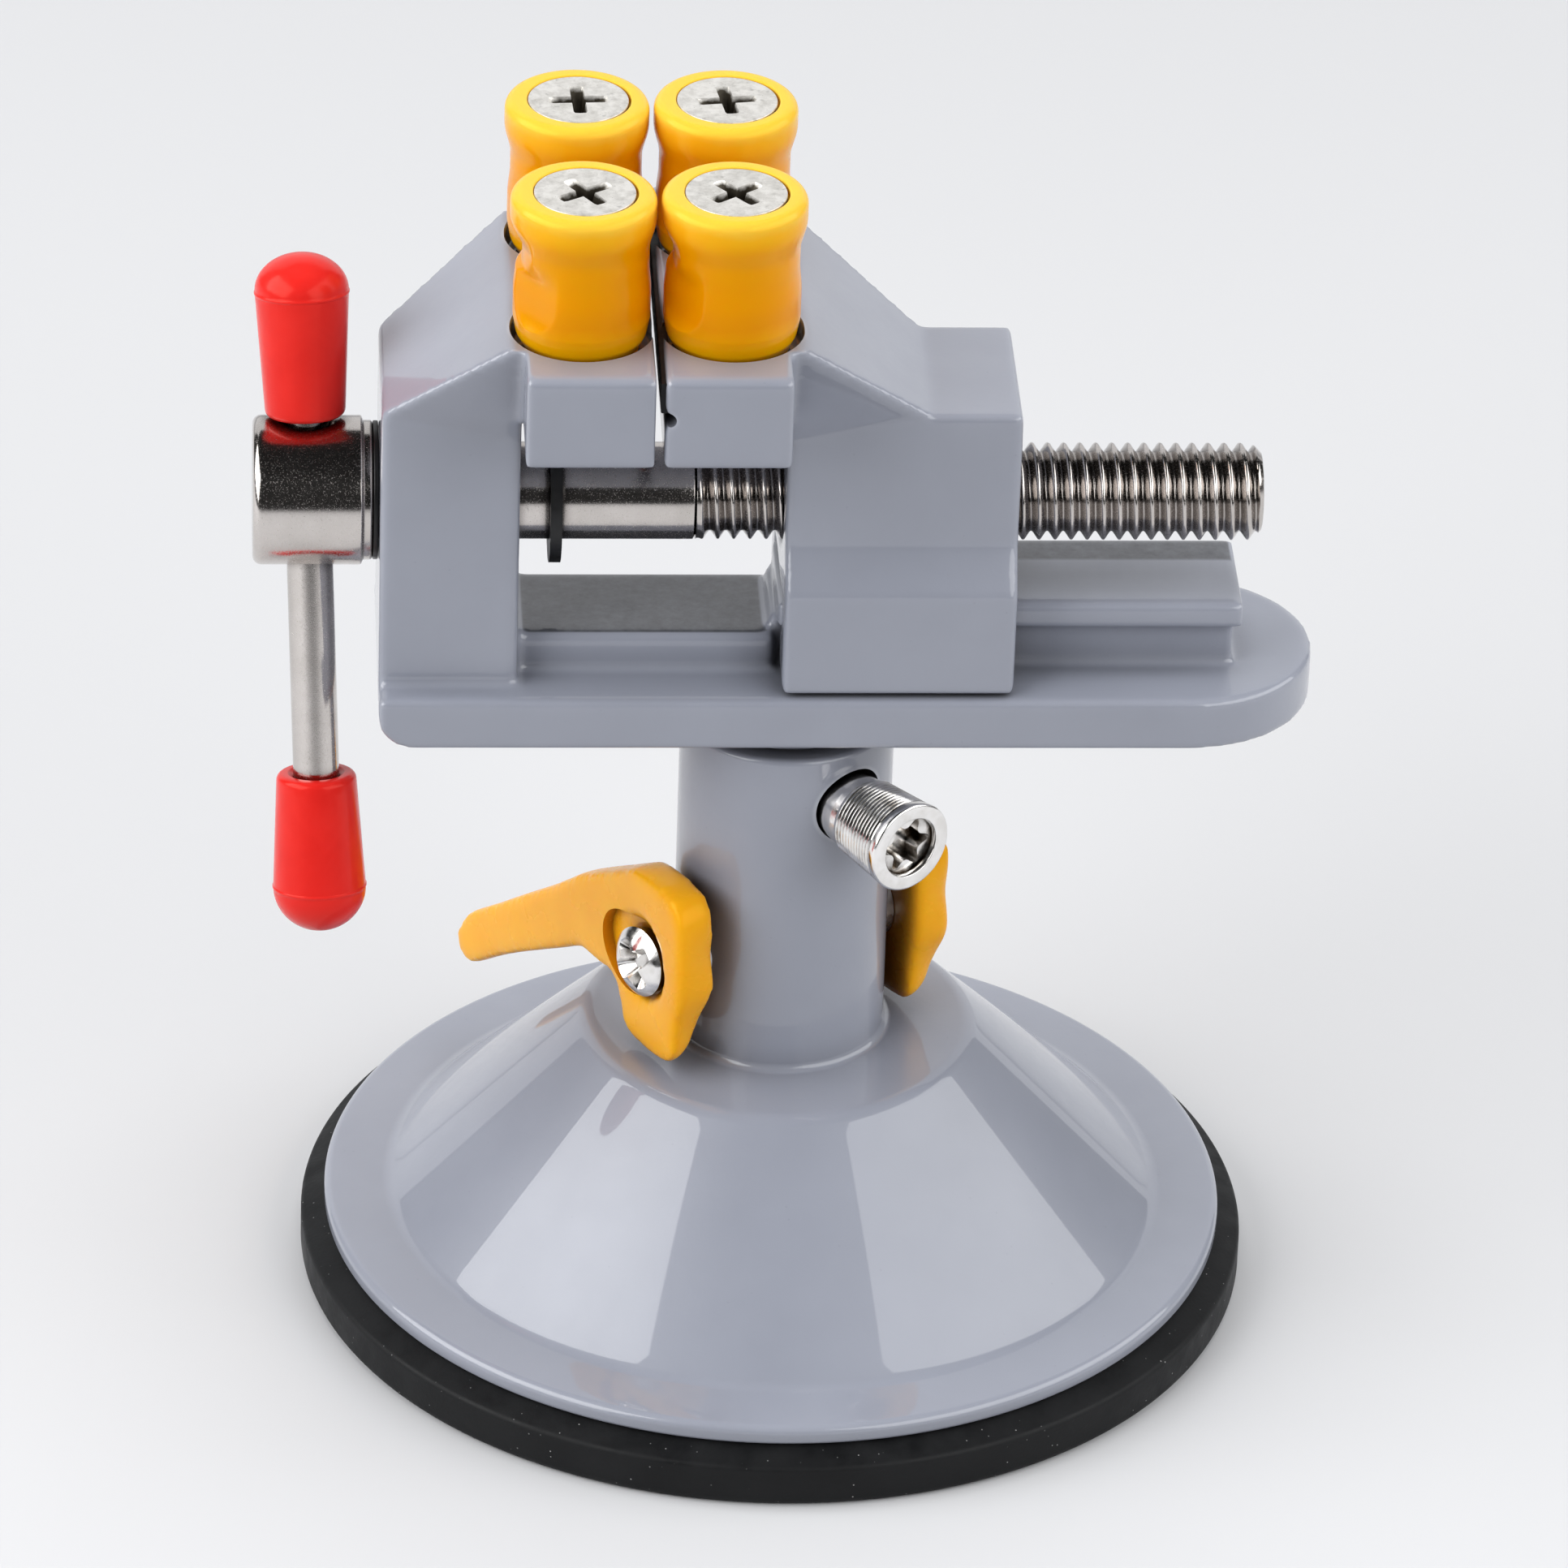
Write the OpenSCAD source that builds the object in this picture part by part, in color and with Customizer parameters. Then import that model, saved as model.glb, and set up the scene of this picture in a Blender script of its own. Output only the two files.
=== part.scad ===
// Small bench vise on a suction base.
// The head swivels on the column, the right jaw slides on a tee rail,
// and a lever pair turns a cam axle that lifts the middle of the pad.
// Millimetres, +Z up, origin at the bottom centre of the rubber pad.

/* [Suction pad] */
// Outside diameter of the rubber pad
pad_d = 100; // [96:1:110]
// Height of the pad at its ring
pad_h = 6; // [5:0.1:8]
// Width of the thick ring of the pad
pad_ring_w = 14; // [12:0.5:17]
// Thickness of the thin rubber floor
pad_floor_t = 1.8; // [1.2:0.1:2.4]
// Diameter of the lifted rubber boss in the middle
boss_d = 29.2; // [24:0.2:34]

/* [Base casting] */
// Outside diameter of the cast flange
flange_d = 95.1; // [90:0.1:95.5]
// Thickness of the flange at its rim
flange_t = 2; // [1.6:0.1:3]
// Diameter where the flat of the flange meets the cone
cone_foot_d = 74; // [68:1:80]
// Diameter of the shoulder on top of the cone
shoulder_d = 40.6; // [36:0.2:44]
// Height of the shoulder above the table
shoulder_z = 28.5; // [25:0.5:29]
// Wall of the cone
cone_wall = 3; // [2:0.1:4]
// Outside diameter of the column
column_d = 22.3; // [21.5:0.1:24]
// Height of the column top above the table
column_top_z = 66; // [65.5:0.1:68]
// Diameter of the bore down the column
column_bore_d = 14.9; // [14:0.1:16]

/* [Cam levers] */
// Height of the cam axle above the table
axle_z = 40; // [39.8:0.1:42]
// Direction of the cam axle, from the front towards the left
axle_angle = 63.5; // [40:0.5:90]
// Diameter of the cam axle in the column
axle_d = 8; // [7:0.1:8.4]
// Diameter of the axle's ends in the levers
axle_end_d = 5; // [4.6:0.1:6]
// Diameter of the eccentric pin in the middle of the axle
cam_d = 4; // [3.4:0.1:5]
// Turn of the levers from locked to released
lever_swing = 55; // [40:1:55]
// Distance from the column axis to the middle of a lever
lever_mid = 14.2; // [14.2:0.1:16]
// Thickness of a lever
lever_t = 4.4; // [3.6:0.1:4.6]
// Reach of the cam hub of a lever
lever_hub_r = 11.3; // [10.5:0.1:11.4]
// Length of a lever arm from the axle to its tip
lever_arm = 43; // [38:0.5:44]
// End float of the axle, taken up towards the left lever
axle_float = 0.5; // [0:0.1:0.6]
// Diameter of the lever screw head
lever_screw_d = 8.4; // [7:0.1:8.8]

/* [Pull stem] */
// Diameter of the stem in the column
stem_d = 14.3; // [13.9:0.1:14.3]
// Diameter of the steel disc on the rubber boss
disc_d = 24; // [20:0.5:28]
// Thickness of the steel disc
disc_t = 1.6; // [1:0.1:2]

/* [Swivel] */
// Diameter of the swivel spigot
spigot_d = 14.8; // [13.9:0.1:15.9]
// Length of the spigot inside the column
spigot_len = 15.4; // [14:0.2:16]
// Diameter of the clamping screw
set_d = 8.8; // [8:0.1:9]
// Length of the clamping screw that stands out of the column
set_out = 9.3; // [8:0.1:13]
// Height of the clamping screw above the table
set_z = 59.6; // [59:0.1:60.4]
// Direction of the clamping screw, from the front towards the right
set_angle = 35; // [10:1:50]

/* [Base plate] */
// Underside of the plate above the table
plate_z = 68.7; // [68.7:0.1:71]
// Thickness of the plate
plate_t = 5.6; // [5:0.1:7]
// Width of the plate
plate_w = 26.6; // [26:0.2:30]
// Left end of the plate from the column axis
plate_left = 42.7; // [42:0.1:46]
// Right end of the plate from the column axis
plate_right = 54; // [53:0.5:60]

/* [Rail] */
// Width of the tee slab
tee_w = 14.2; // [13.6:0.1:15]
// Thickness of the tee slab
tee_t = 2.9; // [2.4:0.1:3.4]
// Top of the tee slab above the plate
tee_h = 8; // [7.6:0.1:8.4]
// Width of the neck under the slab
neck_w = 10.4; // [9:0.1:11]
// Right end of the slab from the column axis
tee_right = 46; // [44:0.5:48]
// Width of the low ridge in the window
ridge_w = 13.2; // [12:0.1:14]
// Height of the low ridge above the plate
ridge_h = 4.2; // [3:0.1:4.4]

/* [Jaws] */
// Thickness of the fixed jaw wall
wall_t = 14.2; // [13:0.1:15]
// Width of a jaw body
body_w = 19.8; // [18:0.2:21]
// Width of a jaw where the flare is widest
flare_w = 30.6; // [28:0.2:33]
// Width of the jaw lips
lip_w = 42.8; // [40:0.2:46]
// Length of a jaw lip along the screw
lip_l = 12.9; // [12:0.1:13.2]
// Height of a jaw lip
lip_h = 10.3; // [9.5:0.1:11]
// Top of the jaws above the table
jaw_top_z = 116; // [115:0.5:120]
// Low end of the sloped top above the table
jaw_low_z = 105.7; // [104:0.1:106.5]
// Gap between the closed lips
jaw_gap = 0.9; // [0.9:0.1:2]
// Length of the moving jaw body along the screw
mover_l = 23.8; // [23:0.1:26]
// Length of the flat top on the moving jaw
mover_flat_l = 9.4; // [8:0.1:11]
// Width of the moving jaw skirt
skirt_w = 24.8; // [24:0.2:27]
// Height of the moving jaw skirt
skirt_h = 11.9; // [11:0.1:13]

/* [Lead screw] */
// Major diameter of the lead screw
screw_d = 10; // [9:0.1:10.4]
// Axis of the lead screw above the table
screw_z = 91.7; // [91:0.1:93]
// Diameter of the lead screw head
head_d = 15.3; // [14:0.1:17]
// Length of the lead screw head
head_l = 12.2; // [10:0.1:14]
// Right end of the lead screw from the column axis
screw_right = 47.8; // [44:0.2:52]
// Left end of the thread from the column axis
thread_left = 10.3; // [8:0.1:14]
// Outside diameter of the retaining clip
clip_d = 14.8; // [13:0.1:16]
// Thickness of the retaining clip
clip_t = 1.2; // [0.8:0.1:1.6]

/* [Handle] */
// Diameter of the handle bar
bar_d = 4.75; // [4:0.05:5.2]
// Free length of the bar between its grips
bar_free = 38.2; // [34:0.1:46]
// Lean of the loose bar in its hole
bar_lean = 1.9; // [0:0.1:2]
// Turn of the lead screw at rest, which tilts the top of the bar to the back
bar_tilt = 13; // [-30:1:30]
// Length of a grip
grip_l = 17; // [15:0.1:22]
// Largest diameter of a grip
grip_d = 9.8; // [9:0.1:11]
// Diameter of a grip at its open end
grip_neck_d = 8.3; // [7.6:0.1:9]

/* [Clamp posts] */
// Diameter of a post head
post_head_d = 14.6; // [13.8:0.1:14.6]
// Diameter of a post at its waist
post_waist_d = 13.3; // [12.6:0.1:13.4]
// Diameter of a post at its foot
post_foot_d = 13.8; // [13.4:0.1:14]
// Height of a post above the jaws
post_h = 15.3; // [13:0.1:18]
// Distance between the front and rear posts
post_pitch = 20.2; // [18.4:0.2:22]
// Distance of a post from the middle of the jaw gap
post_inset = 7.55; // [7.5:0.05:8]
// Diameter of a post screw head
post_screw_head_d = 10.2; // [9:0.1:10.6]
// Diameter of a post screw shank
post_screw_d = 5; // [4.5:0.1:5.4]

/* [Fits] */
// Radial clearance of turning and sliding shafts
run_clear = 0.05; // [0.03:0.01:0.09]
// Clearance of the sliding jaw on its rail
rail_clear = 0.25; // [0.2:0.05:0.35]
// Gap between pieces that pass each other
pass_gap = 0.3; // [0.2:0.05:0.4]
// Radial clearance of the post foot in its pocket
pocket_clear = 0.35; // [0.3:0.05:0.5]

/* [Hidden] */
$fn = 64;
// Overrun of every cut
over = 0.5;
// Small edge break of turned parts
edge = 0.5;
// Rounding of cast edges
cast_edge = 0.8;

// Steps in the arc of a rounded corner
arc_n = 5;
// Unit vector from a towards b
function unit(a, b) = (b - a) / norm(b - a);
// Arc that rounds the corner at p between the points before and after it
function corner_arc(p0, p, p1, r) =
    let (
        u = unit(p, p0),
        v = unit(p, p1),
        half = acos(u * v) / 2,
        t = r / tan(half),
        m = unit(p, p + u + v),
        c = p + m * (r / sin(half)),
        a0 = atan2(p.y + u.y * t - c.y, p.x + u.x * t - c.x),
        a1 = atan2(p.y + v.y * t - c.y, p.x + v.x * t - c.x),
        turn = ((a1 - a0 + 540) % 360) - 180
    )
    [for (i = [0:arc_n]) c + r * [cos(a0 + turn * i / arc_n), sin(a0 + turn * i / arc_n)]];
// Outline with its corners rounded, from rows of x, y and corner radius
function rounded(rows) =
    let (n = len(rows))
    [for (i = [0:n - 1])
        let (
            p0 = [rows[(i + n - 1) % n].x, rows[(i + n - 1) % n].y],
            p = [rows[i].x, rows[i].y],
            p1 = [rows[(i + 1) % n].x, rows[(i + 1) % n].y]
        )
        each rows[i].z > 0 ? corner_arc(p0, p, p1, rows[i].z) : [p]];

// Solid of revolution from a rounded outline of radius and height
module turned(rows) {
    rotate_extrude() polygon(rounded(rows));
}
// Round bar along X from x0 to x1
module bar_x(d, x0, x1) {
    translate([x0, 0, 0]) rotate([0, 90, 0]) cylinder(d = d, h = x1 - x0);
}
// Side outline in x and z, drawn out to a width along Y
module side_block(rows, w) {
    translate([0, w / 2, 0]) rotate([90, 0, 0]) linear_extrude(w) polygon(rounded(rows));
}
// Cross section in y and z, drawn out along X from x0 to x1
module run_block(rows, x0, x1) {
    translate([x0, 0, 0]) rotate([90, 0, 90]) linear_extrude(x1 - x0) polygon(rounded(rows));
}
// Moves children to the cam axle, with their Z along it towards the front left
module on_axle() {
    translate([0, 0, axle_z]) rotate([90, 0, -axle_angle])
        translate([0, 0, axle_float]) children();
}
// Moves children to the clamping screw, with their Z pointing outwards
module on_set() {
    translate([0, 0, set_z]) rotate([90, 0, set_angle]) children();
}
// Moves children to the bar in the screw head, with their Z along the bar
module on_bar() {
    translate([handle_x, 0, screw_z]) rotate([-bar_tilt, 0, 0]) rotate([0, -bar_lean, 0]) children();
}

// Rubber pad: thick ring and thin floor round the lifted boss
pad_edge = 0.7;
floor_hole_d = boss_d + 2 * pass_gap;
pad_ring_in_d = pad_d - 2 * pad_ring_w;
module rubber_pad() {
    color([0.14, 0.14, 0.15])
        turned([
            [floor_hole_d / 2, 0, 0],
            [pad_d / 2, 0, pad_edge],
            [pad_d / 2, pad_h, pad_edge],
            [pad_ring_in_d / 2, pad_h, 0],
            [pad_ring_in_d / 2, pad_floor_t, 0],
            [floor_hole_d / 2, pad_floor_t, 0]
        ]);
}

// Base casting: flange, cone, shoulder and hollow column in one piece
flange_edge = 0.8;
foot_fillet = 6.5;
root_fillet = 0.8;
flange_rise = 0.3;
cone_top_z = shoulder_z;
cone_foot_z = pad_h + flange_t + flange_rise;
cone_run = (cone_foot_d - shoulder_d) / 2;
cone_rise = cone_top_z - cone_foot_z;
cone_len = norm([cone_run, cone_rise]);
// Inner cone line lies one wall inside the outer one
cone_in_shift = cone_wall * cone_len / cone_rise;
inner_top_z = shoulder_z - cone_wall;
inner_top_r = shoulder_d / 2 + cone_run * cone_wall / cone_rise - cone_in_shift;
inner_foot_r = cone_foot_d / 2 + cone_run * (cone_foot_z - pad_h) / cone_rise - cone_in_shift;
set_hole_d = set_d + 2 * run_clear;
axle_hole_d = axle_d + 2 * run_clear;
module base_casting() {
    color([0.66, 0.67, 0.71])
        difference() {
            turned([
                [column_bore_d / 2, inner_top_z, 0],
                [inner_top_r, inner_top_z, 0],
                [inner_foot_r, pad_h, 0],
                [flange_d / 2, pad_h, 0],
                [flange_d / 2, pad_h + flange_t, flange_edge],
                [cone_foot_d / 2, cone_foot_z, foot_fillet],
                [shoulder_d / 2, cone_top_z, cast_edge],
                [column_d / 2, shoulder_z, root_fillet],
                [column_d / 2, column_top_z, cast_edge],
                [column_bore_d / 2, column_top_z, 0]
            ]);
            on_axle() cylinder(d = axle_hole_d, h = column_d + 2 * axle_float + 2 * over, center = true);
            on_set() cylinder(d = set_hole_d, h = column_d / 2 + over);
        }
}

// The eccentric pin lies within the axle's own radius, so the axle slides in from one side
cam_inset = 0.1;
cam_offset = (axle_d - cam_d) / 2 - cam_inset;
// Travel that the cam gives the stem
stem_lift = cam_offset * (1 - cos(lever_swing));
// Rubber boss in the middle of the pad, shown in its lifted place
boss_lift = stem_lift + pass_gap;
boss_h = 3;
boss_top_z = boss_lift + boss_h;
module pad_boss() {
    color([0.14, 0.14, 0.15])
        turned([
            [0, boss_lift, 0],
            [boss_d / 2, boss_lift, 0],
            [boss_d / 2, boss_top_z, edge],
            [0, boss_top_z, 0]
        ]);
}

// Steel disc bonded to the rubber boss
disc_top_z = boss_top_z + disc_t;
module lift_disc() {
    color([0.62, 0.62, 0.64])
        turned([
            [0, boss_top_z, 0],
            [disc_d / 2, boss_top_z, 0],
            [disc_d / 2, disc_top_z, edge],
            [0, disc_top_z, 0]
        ]);
}

// Stem that the cam lifts through a window across it
window_clear = 0.4;
stem_top_wall = 2.6;
window_low_z = axle_z - axle_d / 2 - window_clear;
window_top_z = axle_z + axle_d / 2 + window_clear;
window_half_w = axle_d / 2 + window_clear;
stem_top_z = window_top_z + stem_top_wall;
stem_land_h = 6;
stem_relief = 1;
stem_waist_d = stem_d - 2 * stem_relief;
module pull_stem() {
    color([0.6, 0.61, 0.63])
        difference() {
            turned([
                [0, disc_top_z, 0],
                [stem_d / 2, disc_top_z, edge],
                [stem_d / 2, inner_top_z, 0],
                [stem_waist_d / 2, inner_top_z + edge, 0],
                [stem_waist_d / 2, window_low_z - stem_land_h - edge, 0],
                [stem_d / 2, window_low_z - stem_land_h, 0],
                [stem_d / 2, stem_top_z, edge],
                [0, stem_top_z, 0]
            ]);
            // The window runs along the axle and lets the whole axle through
            on_axle()
                translate([-window_half_w, window_low_z - axle_z, -axle_half])
                    cube([2 * window_half_w, window_top_z - window_low_z, 2 * axle_half]);
        }
}

// Cam axle: a round bar with an eccentric pin that spans the stem
cam_half_w = stem_d / 2 + axle_float + pass_gap;
lever_in = lever_mid - lever_t / 2;
lever_out = lever_mid + lever_t / 2;
recess_deep = 1.4;
axle_half = lever_out - recess_deep;
axle_body_half = lever_in - run_clear;
lever_screw_core_d = 3.4;
lever_screw_deep = 6;
module cam_axle() {
    color([0.7, 0.7, 0.72])
        on_axle() difference() {
            union() {
                for (side = [0, 180])
                    rotate([side, 0, 0]) {
                        translate([0, 0, cam_half_w])
                            cylinder(d = axle_d, h = axle_body_half - cam_half_w);
                        translate([0, 0, axle_body_half - over])
                            cylinder(d = axle_end_d, h = axle_half - axle_body_half + over);
                    }
                translate([0, cam_offset, 0])
                    cylinder(d = cam_d, h = 2 * cam_half_w + 2 * over, center = true);
            }
            for (side = [0, 180])
                rotate([side, 0, 0])
                    translate([0, 0, axle_half - lever_screw_deep])
                        cylinder(d = lever_screw_core_d, h = lever_screw_deep + over);
        }
}

// Outline of a lever as shares of the hub reach and of the arm length
hub_shares = [[0.30, -0.90, 0.13], [-0.585, -0.85, 0.22], [-0.735, -0.09, 0.5],
    [-0.745, 0.78, 0.32], [0.13, 0.90, 0.45]];
arm_shares = [[0.337, 0.06, 0.25], [0.953, -0.41, 0.045], [0.898, -0.498, 0.045],
    [0.314, -0.137, 0.08], [0.121, -0.123, 0.05]];
function lever_rows() = concat(
    [for (s = hub_shares) [-s.x * lever_hub_r, s.y * lever_hub_r, s.z * lever_hub_r]],
    [for (s = arm_shares) [-s.x * lever_arm, s.y * lever_arm, s.z * lever_arm]]);
lever_recess_d = lever_screw_d + 2 * pocket_clear;
// One lever, with its outer face at the end named by side
module lever(side) {
    color([0.96, 0.63, 0.16])
        on_axle() difference() {
            translate([0, 0, side > 0 ? lever_in : -lever_out])
                linear_extrude(lever_t) polygon(rounded(lever_rows()));
            rotate([side > 0 ? 0 : 180, 0, 0]) {
                cylinder(d = axle_end_d, h = lever_out + over);
                translate([0, 0, axle_half]) cylinder(d = lever_recess_d, h = recess_deep + over);
            }
        }
}
module lever_left() { lever(1); }
module lever_right() { lever(-1); }

// Domed cross-recess screws that hold the levers on the axle
dome_h = 1.9;
cross_w = 1.1;
cross_l_share = 0.6;
cross_deep = 1.2;
dome_r = (lever_screw_d * lever_screw_d / 4 + dome_h * dome_h) / (2 * dome_h);
// Two crossed slots cut down from the origin
module cross_cut(l, w, deep) {
    for (a = [0, 90])
        rotate([0, 0, a])
            translate([-l / 2, -w / 2, -deep]) cube([l, w, deep + over]);
}
module lever_screws() {
    color([0.78, 0.78, 0.8])
        on_axle() for (side = [0, 180])
            rotate([side, 0, 0])
                translate([0, 0, axle_half]) difference() {
                    union() {
                        intersection() {
                            translate([0, 0, dome_h - dome_r]) sphere(r = dome_r);
                            cylinder(d = lever_screw_d, h = dome_h + over);
                        }
                        translate([0, 0, -lever_screw_deep])
                            cylinder(d = lever_screw_core_d, h = lever_screw_deep + over);
                    }
                    translate([0, 0, dome_h])
                        cross_cut(cross_l_share * lever_screw_d, cross_w, cross_deep);
                }
}

// Clamping screw with a lobed socket and a dog point in the spigot groove
set_tip_d = 5.4;
set_tip_l = 1.8;
spigot_groove_deep = 1.4;
set_tip_r = spigot_d / 2 - spigot_groove_deep + 2 * run_clear;
set_face_r = column_d / 2 + set_out;
socket_deep = 4;
socket_core_share = 0.49;
socket_lobe_share = 0.15;
socket_lobe_place_share = 0.235;
lobes = 6;
module set_screw() {
    color([0.8, 0.81, 0.83])
        on_set() difference() {
            turned([
                [0, set_tip_r, 0],
                [set_tip_d / 2, set_tip_r, edge],
                [set_tip_d / 2, set_tip_r + set_tip_l, 0],
                [set_d / 2, set_tip_r + set_tip_l + (set_d - set_tip_d) / 2, 0],
                [set_d / 2, set_face_r, edge],
                [0, set_face_r, 0]
            ]);
            translate([0, 0, set_face_r - socket_deep]) {
                cylinder(d = socket_core_share * set_d, h = socket_deep + over);
                for (i = [1:lobes])
                    rotate([0, 0, i * 360 / lobes])
                        translate([socket_lobe_place_share * set_d, 0, 0])
                            cylinder(d = socket_lobe_share * set_d, h = socket_deep + over);
            }
        }
}

// Steel spigot pressed into the plate, turning in the column bore
boss_under_d = 19;
boss_under_z = column_top_z + 2 * run_clear;
spigot_top_d = 11;
spigot_in_share = 0.7;
spigot_top_z = plate_z + spigot_in_share * plate_t;
spigot_low_z = column_top_z - spigot_len;
groove_half = set_tip_d / 2 + 2 * run_clear;
module swivel_spigot() {
    color([0.62, 0.62, 0.65])
        turned([
            [0, spigot_low_z, 0],
            [spigot_d / 2, spigot_low_z, edge],
            [spigot_d / 2, set_z - groove_half, 0],
            [spigot_d / 2 - spigot_groove_deep, set_z - groove_half, 0],
            [spigot_d / 2 - spigot_groove_deep, set_z + groove_half, 0],
            [spigot_d / 2, set_z + groove_half, 0],
            [spigot_d / 2, boss_under_z, 0],
            [spigot_top_d / 2, boss_under_z, 0],
            [spigot_top_d / 2, spigot_top_z, 0],
            [0, spigot_top_z, 0]
        ]);
}

// Places shared by the two jaws
plate_top_z = plate_z + plate_t;
wall_right_x = wall_t - plate_left;
mover_lip_x = wall_right_x + lip_l + jaw_gap;
gap_x = mover_lip_x - jaw_gap / 2;
mover_left_x = mover_lip_x + lip_l + pass_gap;
jaw_root_l = 1.6;
mover_right_x = mover_left_x + mover_l;
crease_drop = 2.9;
tee_top_z = plate_top_z + tee_h;
tee_low_z = tee_top_z - tee_t;
tee_left_x = mover_left_x - pass_gap;
pocket_d = post_foot_d + 2 * pocket_clear;
pocket_deep = 2.2;
pocket_z = jaw_top_z - pocket_deep;
post_screw_l = 6;
plate_corner = 3.4;

// Flared top of a jaw, from its low outer edge x0 to its lip at x1
module jaw_flare(x0, x1) {
    pts = [
        [x0, -body_w / 2, jaw_low_z],
        [x0, body_w / 2, jaw_low_z],
        [x1, -body_w / 2, jaw_low_z - crease_drop],
        [x1, body_w / 2, jaw_low_z - crease_drop],
        [x1, -flare_w / 2, jaw_top_z],
        [x1, flare_w / 2, jaw_top_z]
    ];
    faces = [[0, 1, 3, 2], [0, 2, 4], [1, 5, 3], [0, 4, 5, 1], [2, 3, 5, 4]];
    flip = [for (f = faces) [for (i = [len(f) - 1:-1:0]) f[i]]];
    polyhedron(pts, x1 > x0 ? flip : faces);
}
// Short full-width root of a jaw between the flare and the lip
module jaw_root(x0, x1) {
    run_block([
        [-body_w / 2, jaw_low_z - crease_drop, 0],
        [body_w / 2, jaw_low_z - crease_drop, 0],
        [flare_w / 2, jaw_top_z, 0],
        [-flare_w / 2, jaw_top_z, 0]
    ], x0, x1);
}
// Lip block between x0 and x1
module jaw_lip(x0, x1) {
    run_block([
        [-lip_w / 2, jaw_top_z - lip_h, cast_edge],
        [lip_w / 2, jaw_top_z - lip_h, cast_edge],
        [lip_w / 2, jaw_top_z, cast_edge],
        [-lip_w / 2, jaw_top_z, cast_edge]
    ], x0, x1);
}
// Pockets and screw holes for the two posts of one jaw
module post_pockets(x) {
    for (side = [-1, 1])
        translate([x, side * post_pitch / 2, pocket_z]) {
            cylinder(d = pocket_d, h = pocket_deep + over);
            translate([0, 0, -post_screw_l]) cylinder(d = post_screw_d, h = post_screw_l + over);
        }
}

// Vise base: plate, tee rail, ridge, fixed jaw and swivel boss
module vise_base() {
    color([0.66, 0.67, 0.71])
        difference() {
            union() {
                intersection() {
                    side_block([
                        [-plate_left, plate_z, plate_corner],
                        [plate_right, plate_z, 0],
                        [plate_right, plate_top_z, 0],
                        [-plate_left, plate_top_z, 0]
                    ], plate_w);
                    translate([0, 0, plate_z]) union() {
                        translate([-plate_left, -plate_w / 2, 0])
                            cube([plate_left + plate_right - plate_w / 2, plate_w, plate_t]);
                        translate([plate_right - plate_w / 2, 0, 0])
                            cylinder(d = plate_w, h = plate_t);
                    }
                }
                translate([0, 0, boss_under_z])
                    cylinder(d = boss_under_d, h = plate_z - boss_under_z + over);
                // Ridge, neck and slab
                run_block([
                    [-ridge_w / 2, plate_top_z - over, 0],
                    [ridge_w / 2, plate_top_z - over, 0],
                    [ridge_w / 2, plate_top_z + ridge_h, cast_edge],
                    [-ridge_w / 2, plate_top_z + ridge_h, cast_edge]
                ], wall_right_x - over, tee_left_x - pass_gap);
                run_block([
                    [-neck_w / 2, plate_top_z - over, 0],
                    [neck_w / 2, plate_top_z - over, 0],
                    [neck_w / 2, tee_low_z + over, 0],
                    [-neck_w / 2, tee_low_z + over, 0]
                ], tee_left_x - pass_gap - over, tee_right - cast_edge);
                run_block([
                    [-tee_w / 2, tee_low_z, 0],
                    [tee_w / 2, tee_low_z, 0],
                    [tee_w / 2, tee_top_z, edge],
                    [-tee_w / 2, tee_top_z, edge]
                ], tee_left_x, tee_right);
                // Jaw wall with its sloped top
                side_block([
                    [-plate_left, plate_top_z - over, 0],
                    [wall_right_x, plate_top_z - over, 0],
                    [wall_right_x, jaw_top_z - lip_h + over, 0],
                    [wall_right_x + over, jaw_top_z - lip_h + over, 0],
                    [wall_right_x + over, jaw_top_z, 0],
                    [wall_right_x - jaw_root_l, jaw_top_z, 0],
                    [-plate_left, jaw_low_z, 0]
                ], body_w);
                jaw_flare(-plate_left, wall_right_x - jaw_root_l);
                jaw_root(wall_right_x - jaw_root_l, wall_right_x);
                jaw_lip(wall_right_x, wall_right_x + lip_l);
            }
            translate([0, 0, boss_under_z - over])
                cylinder(d = spigot_top_d, h = spigot_top_z - boss_under_z + over);
            translate([0, 0, screw_z])
                bar_x(screw_d + 2 * run_clear, -plate_left - over, wall_right_x + over);
            post_pockets(gap_x - post_inset);
        }
}

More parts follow.
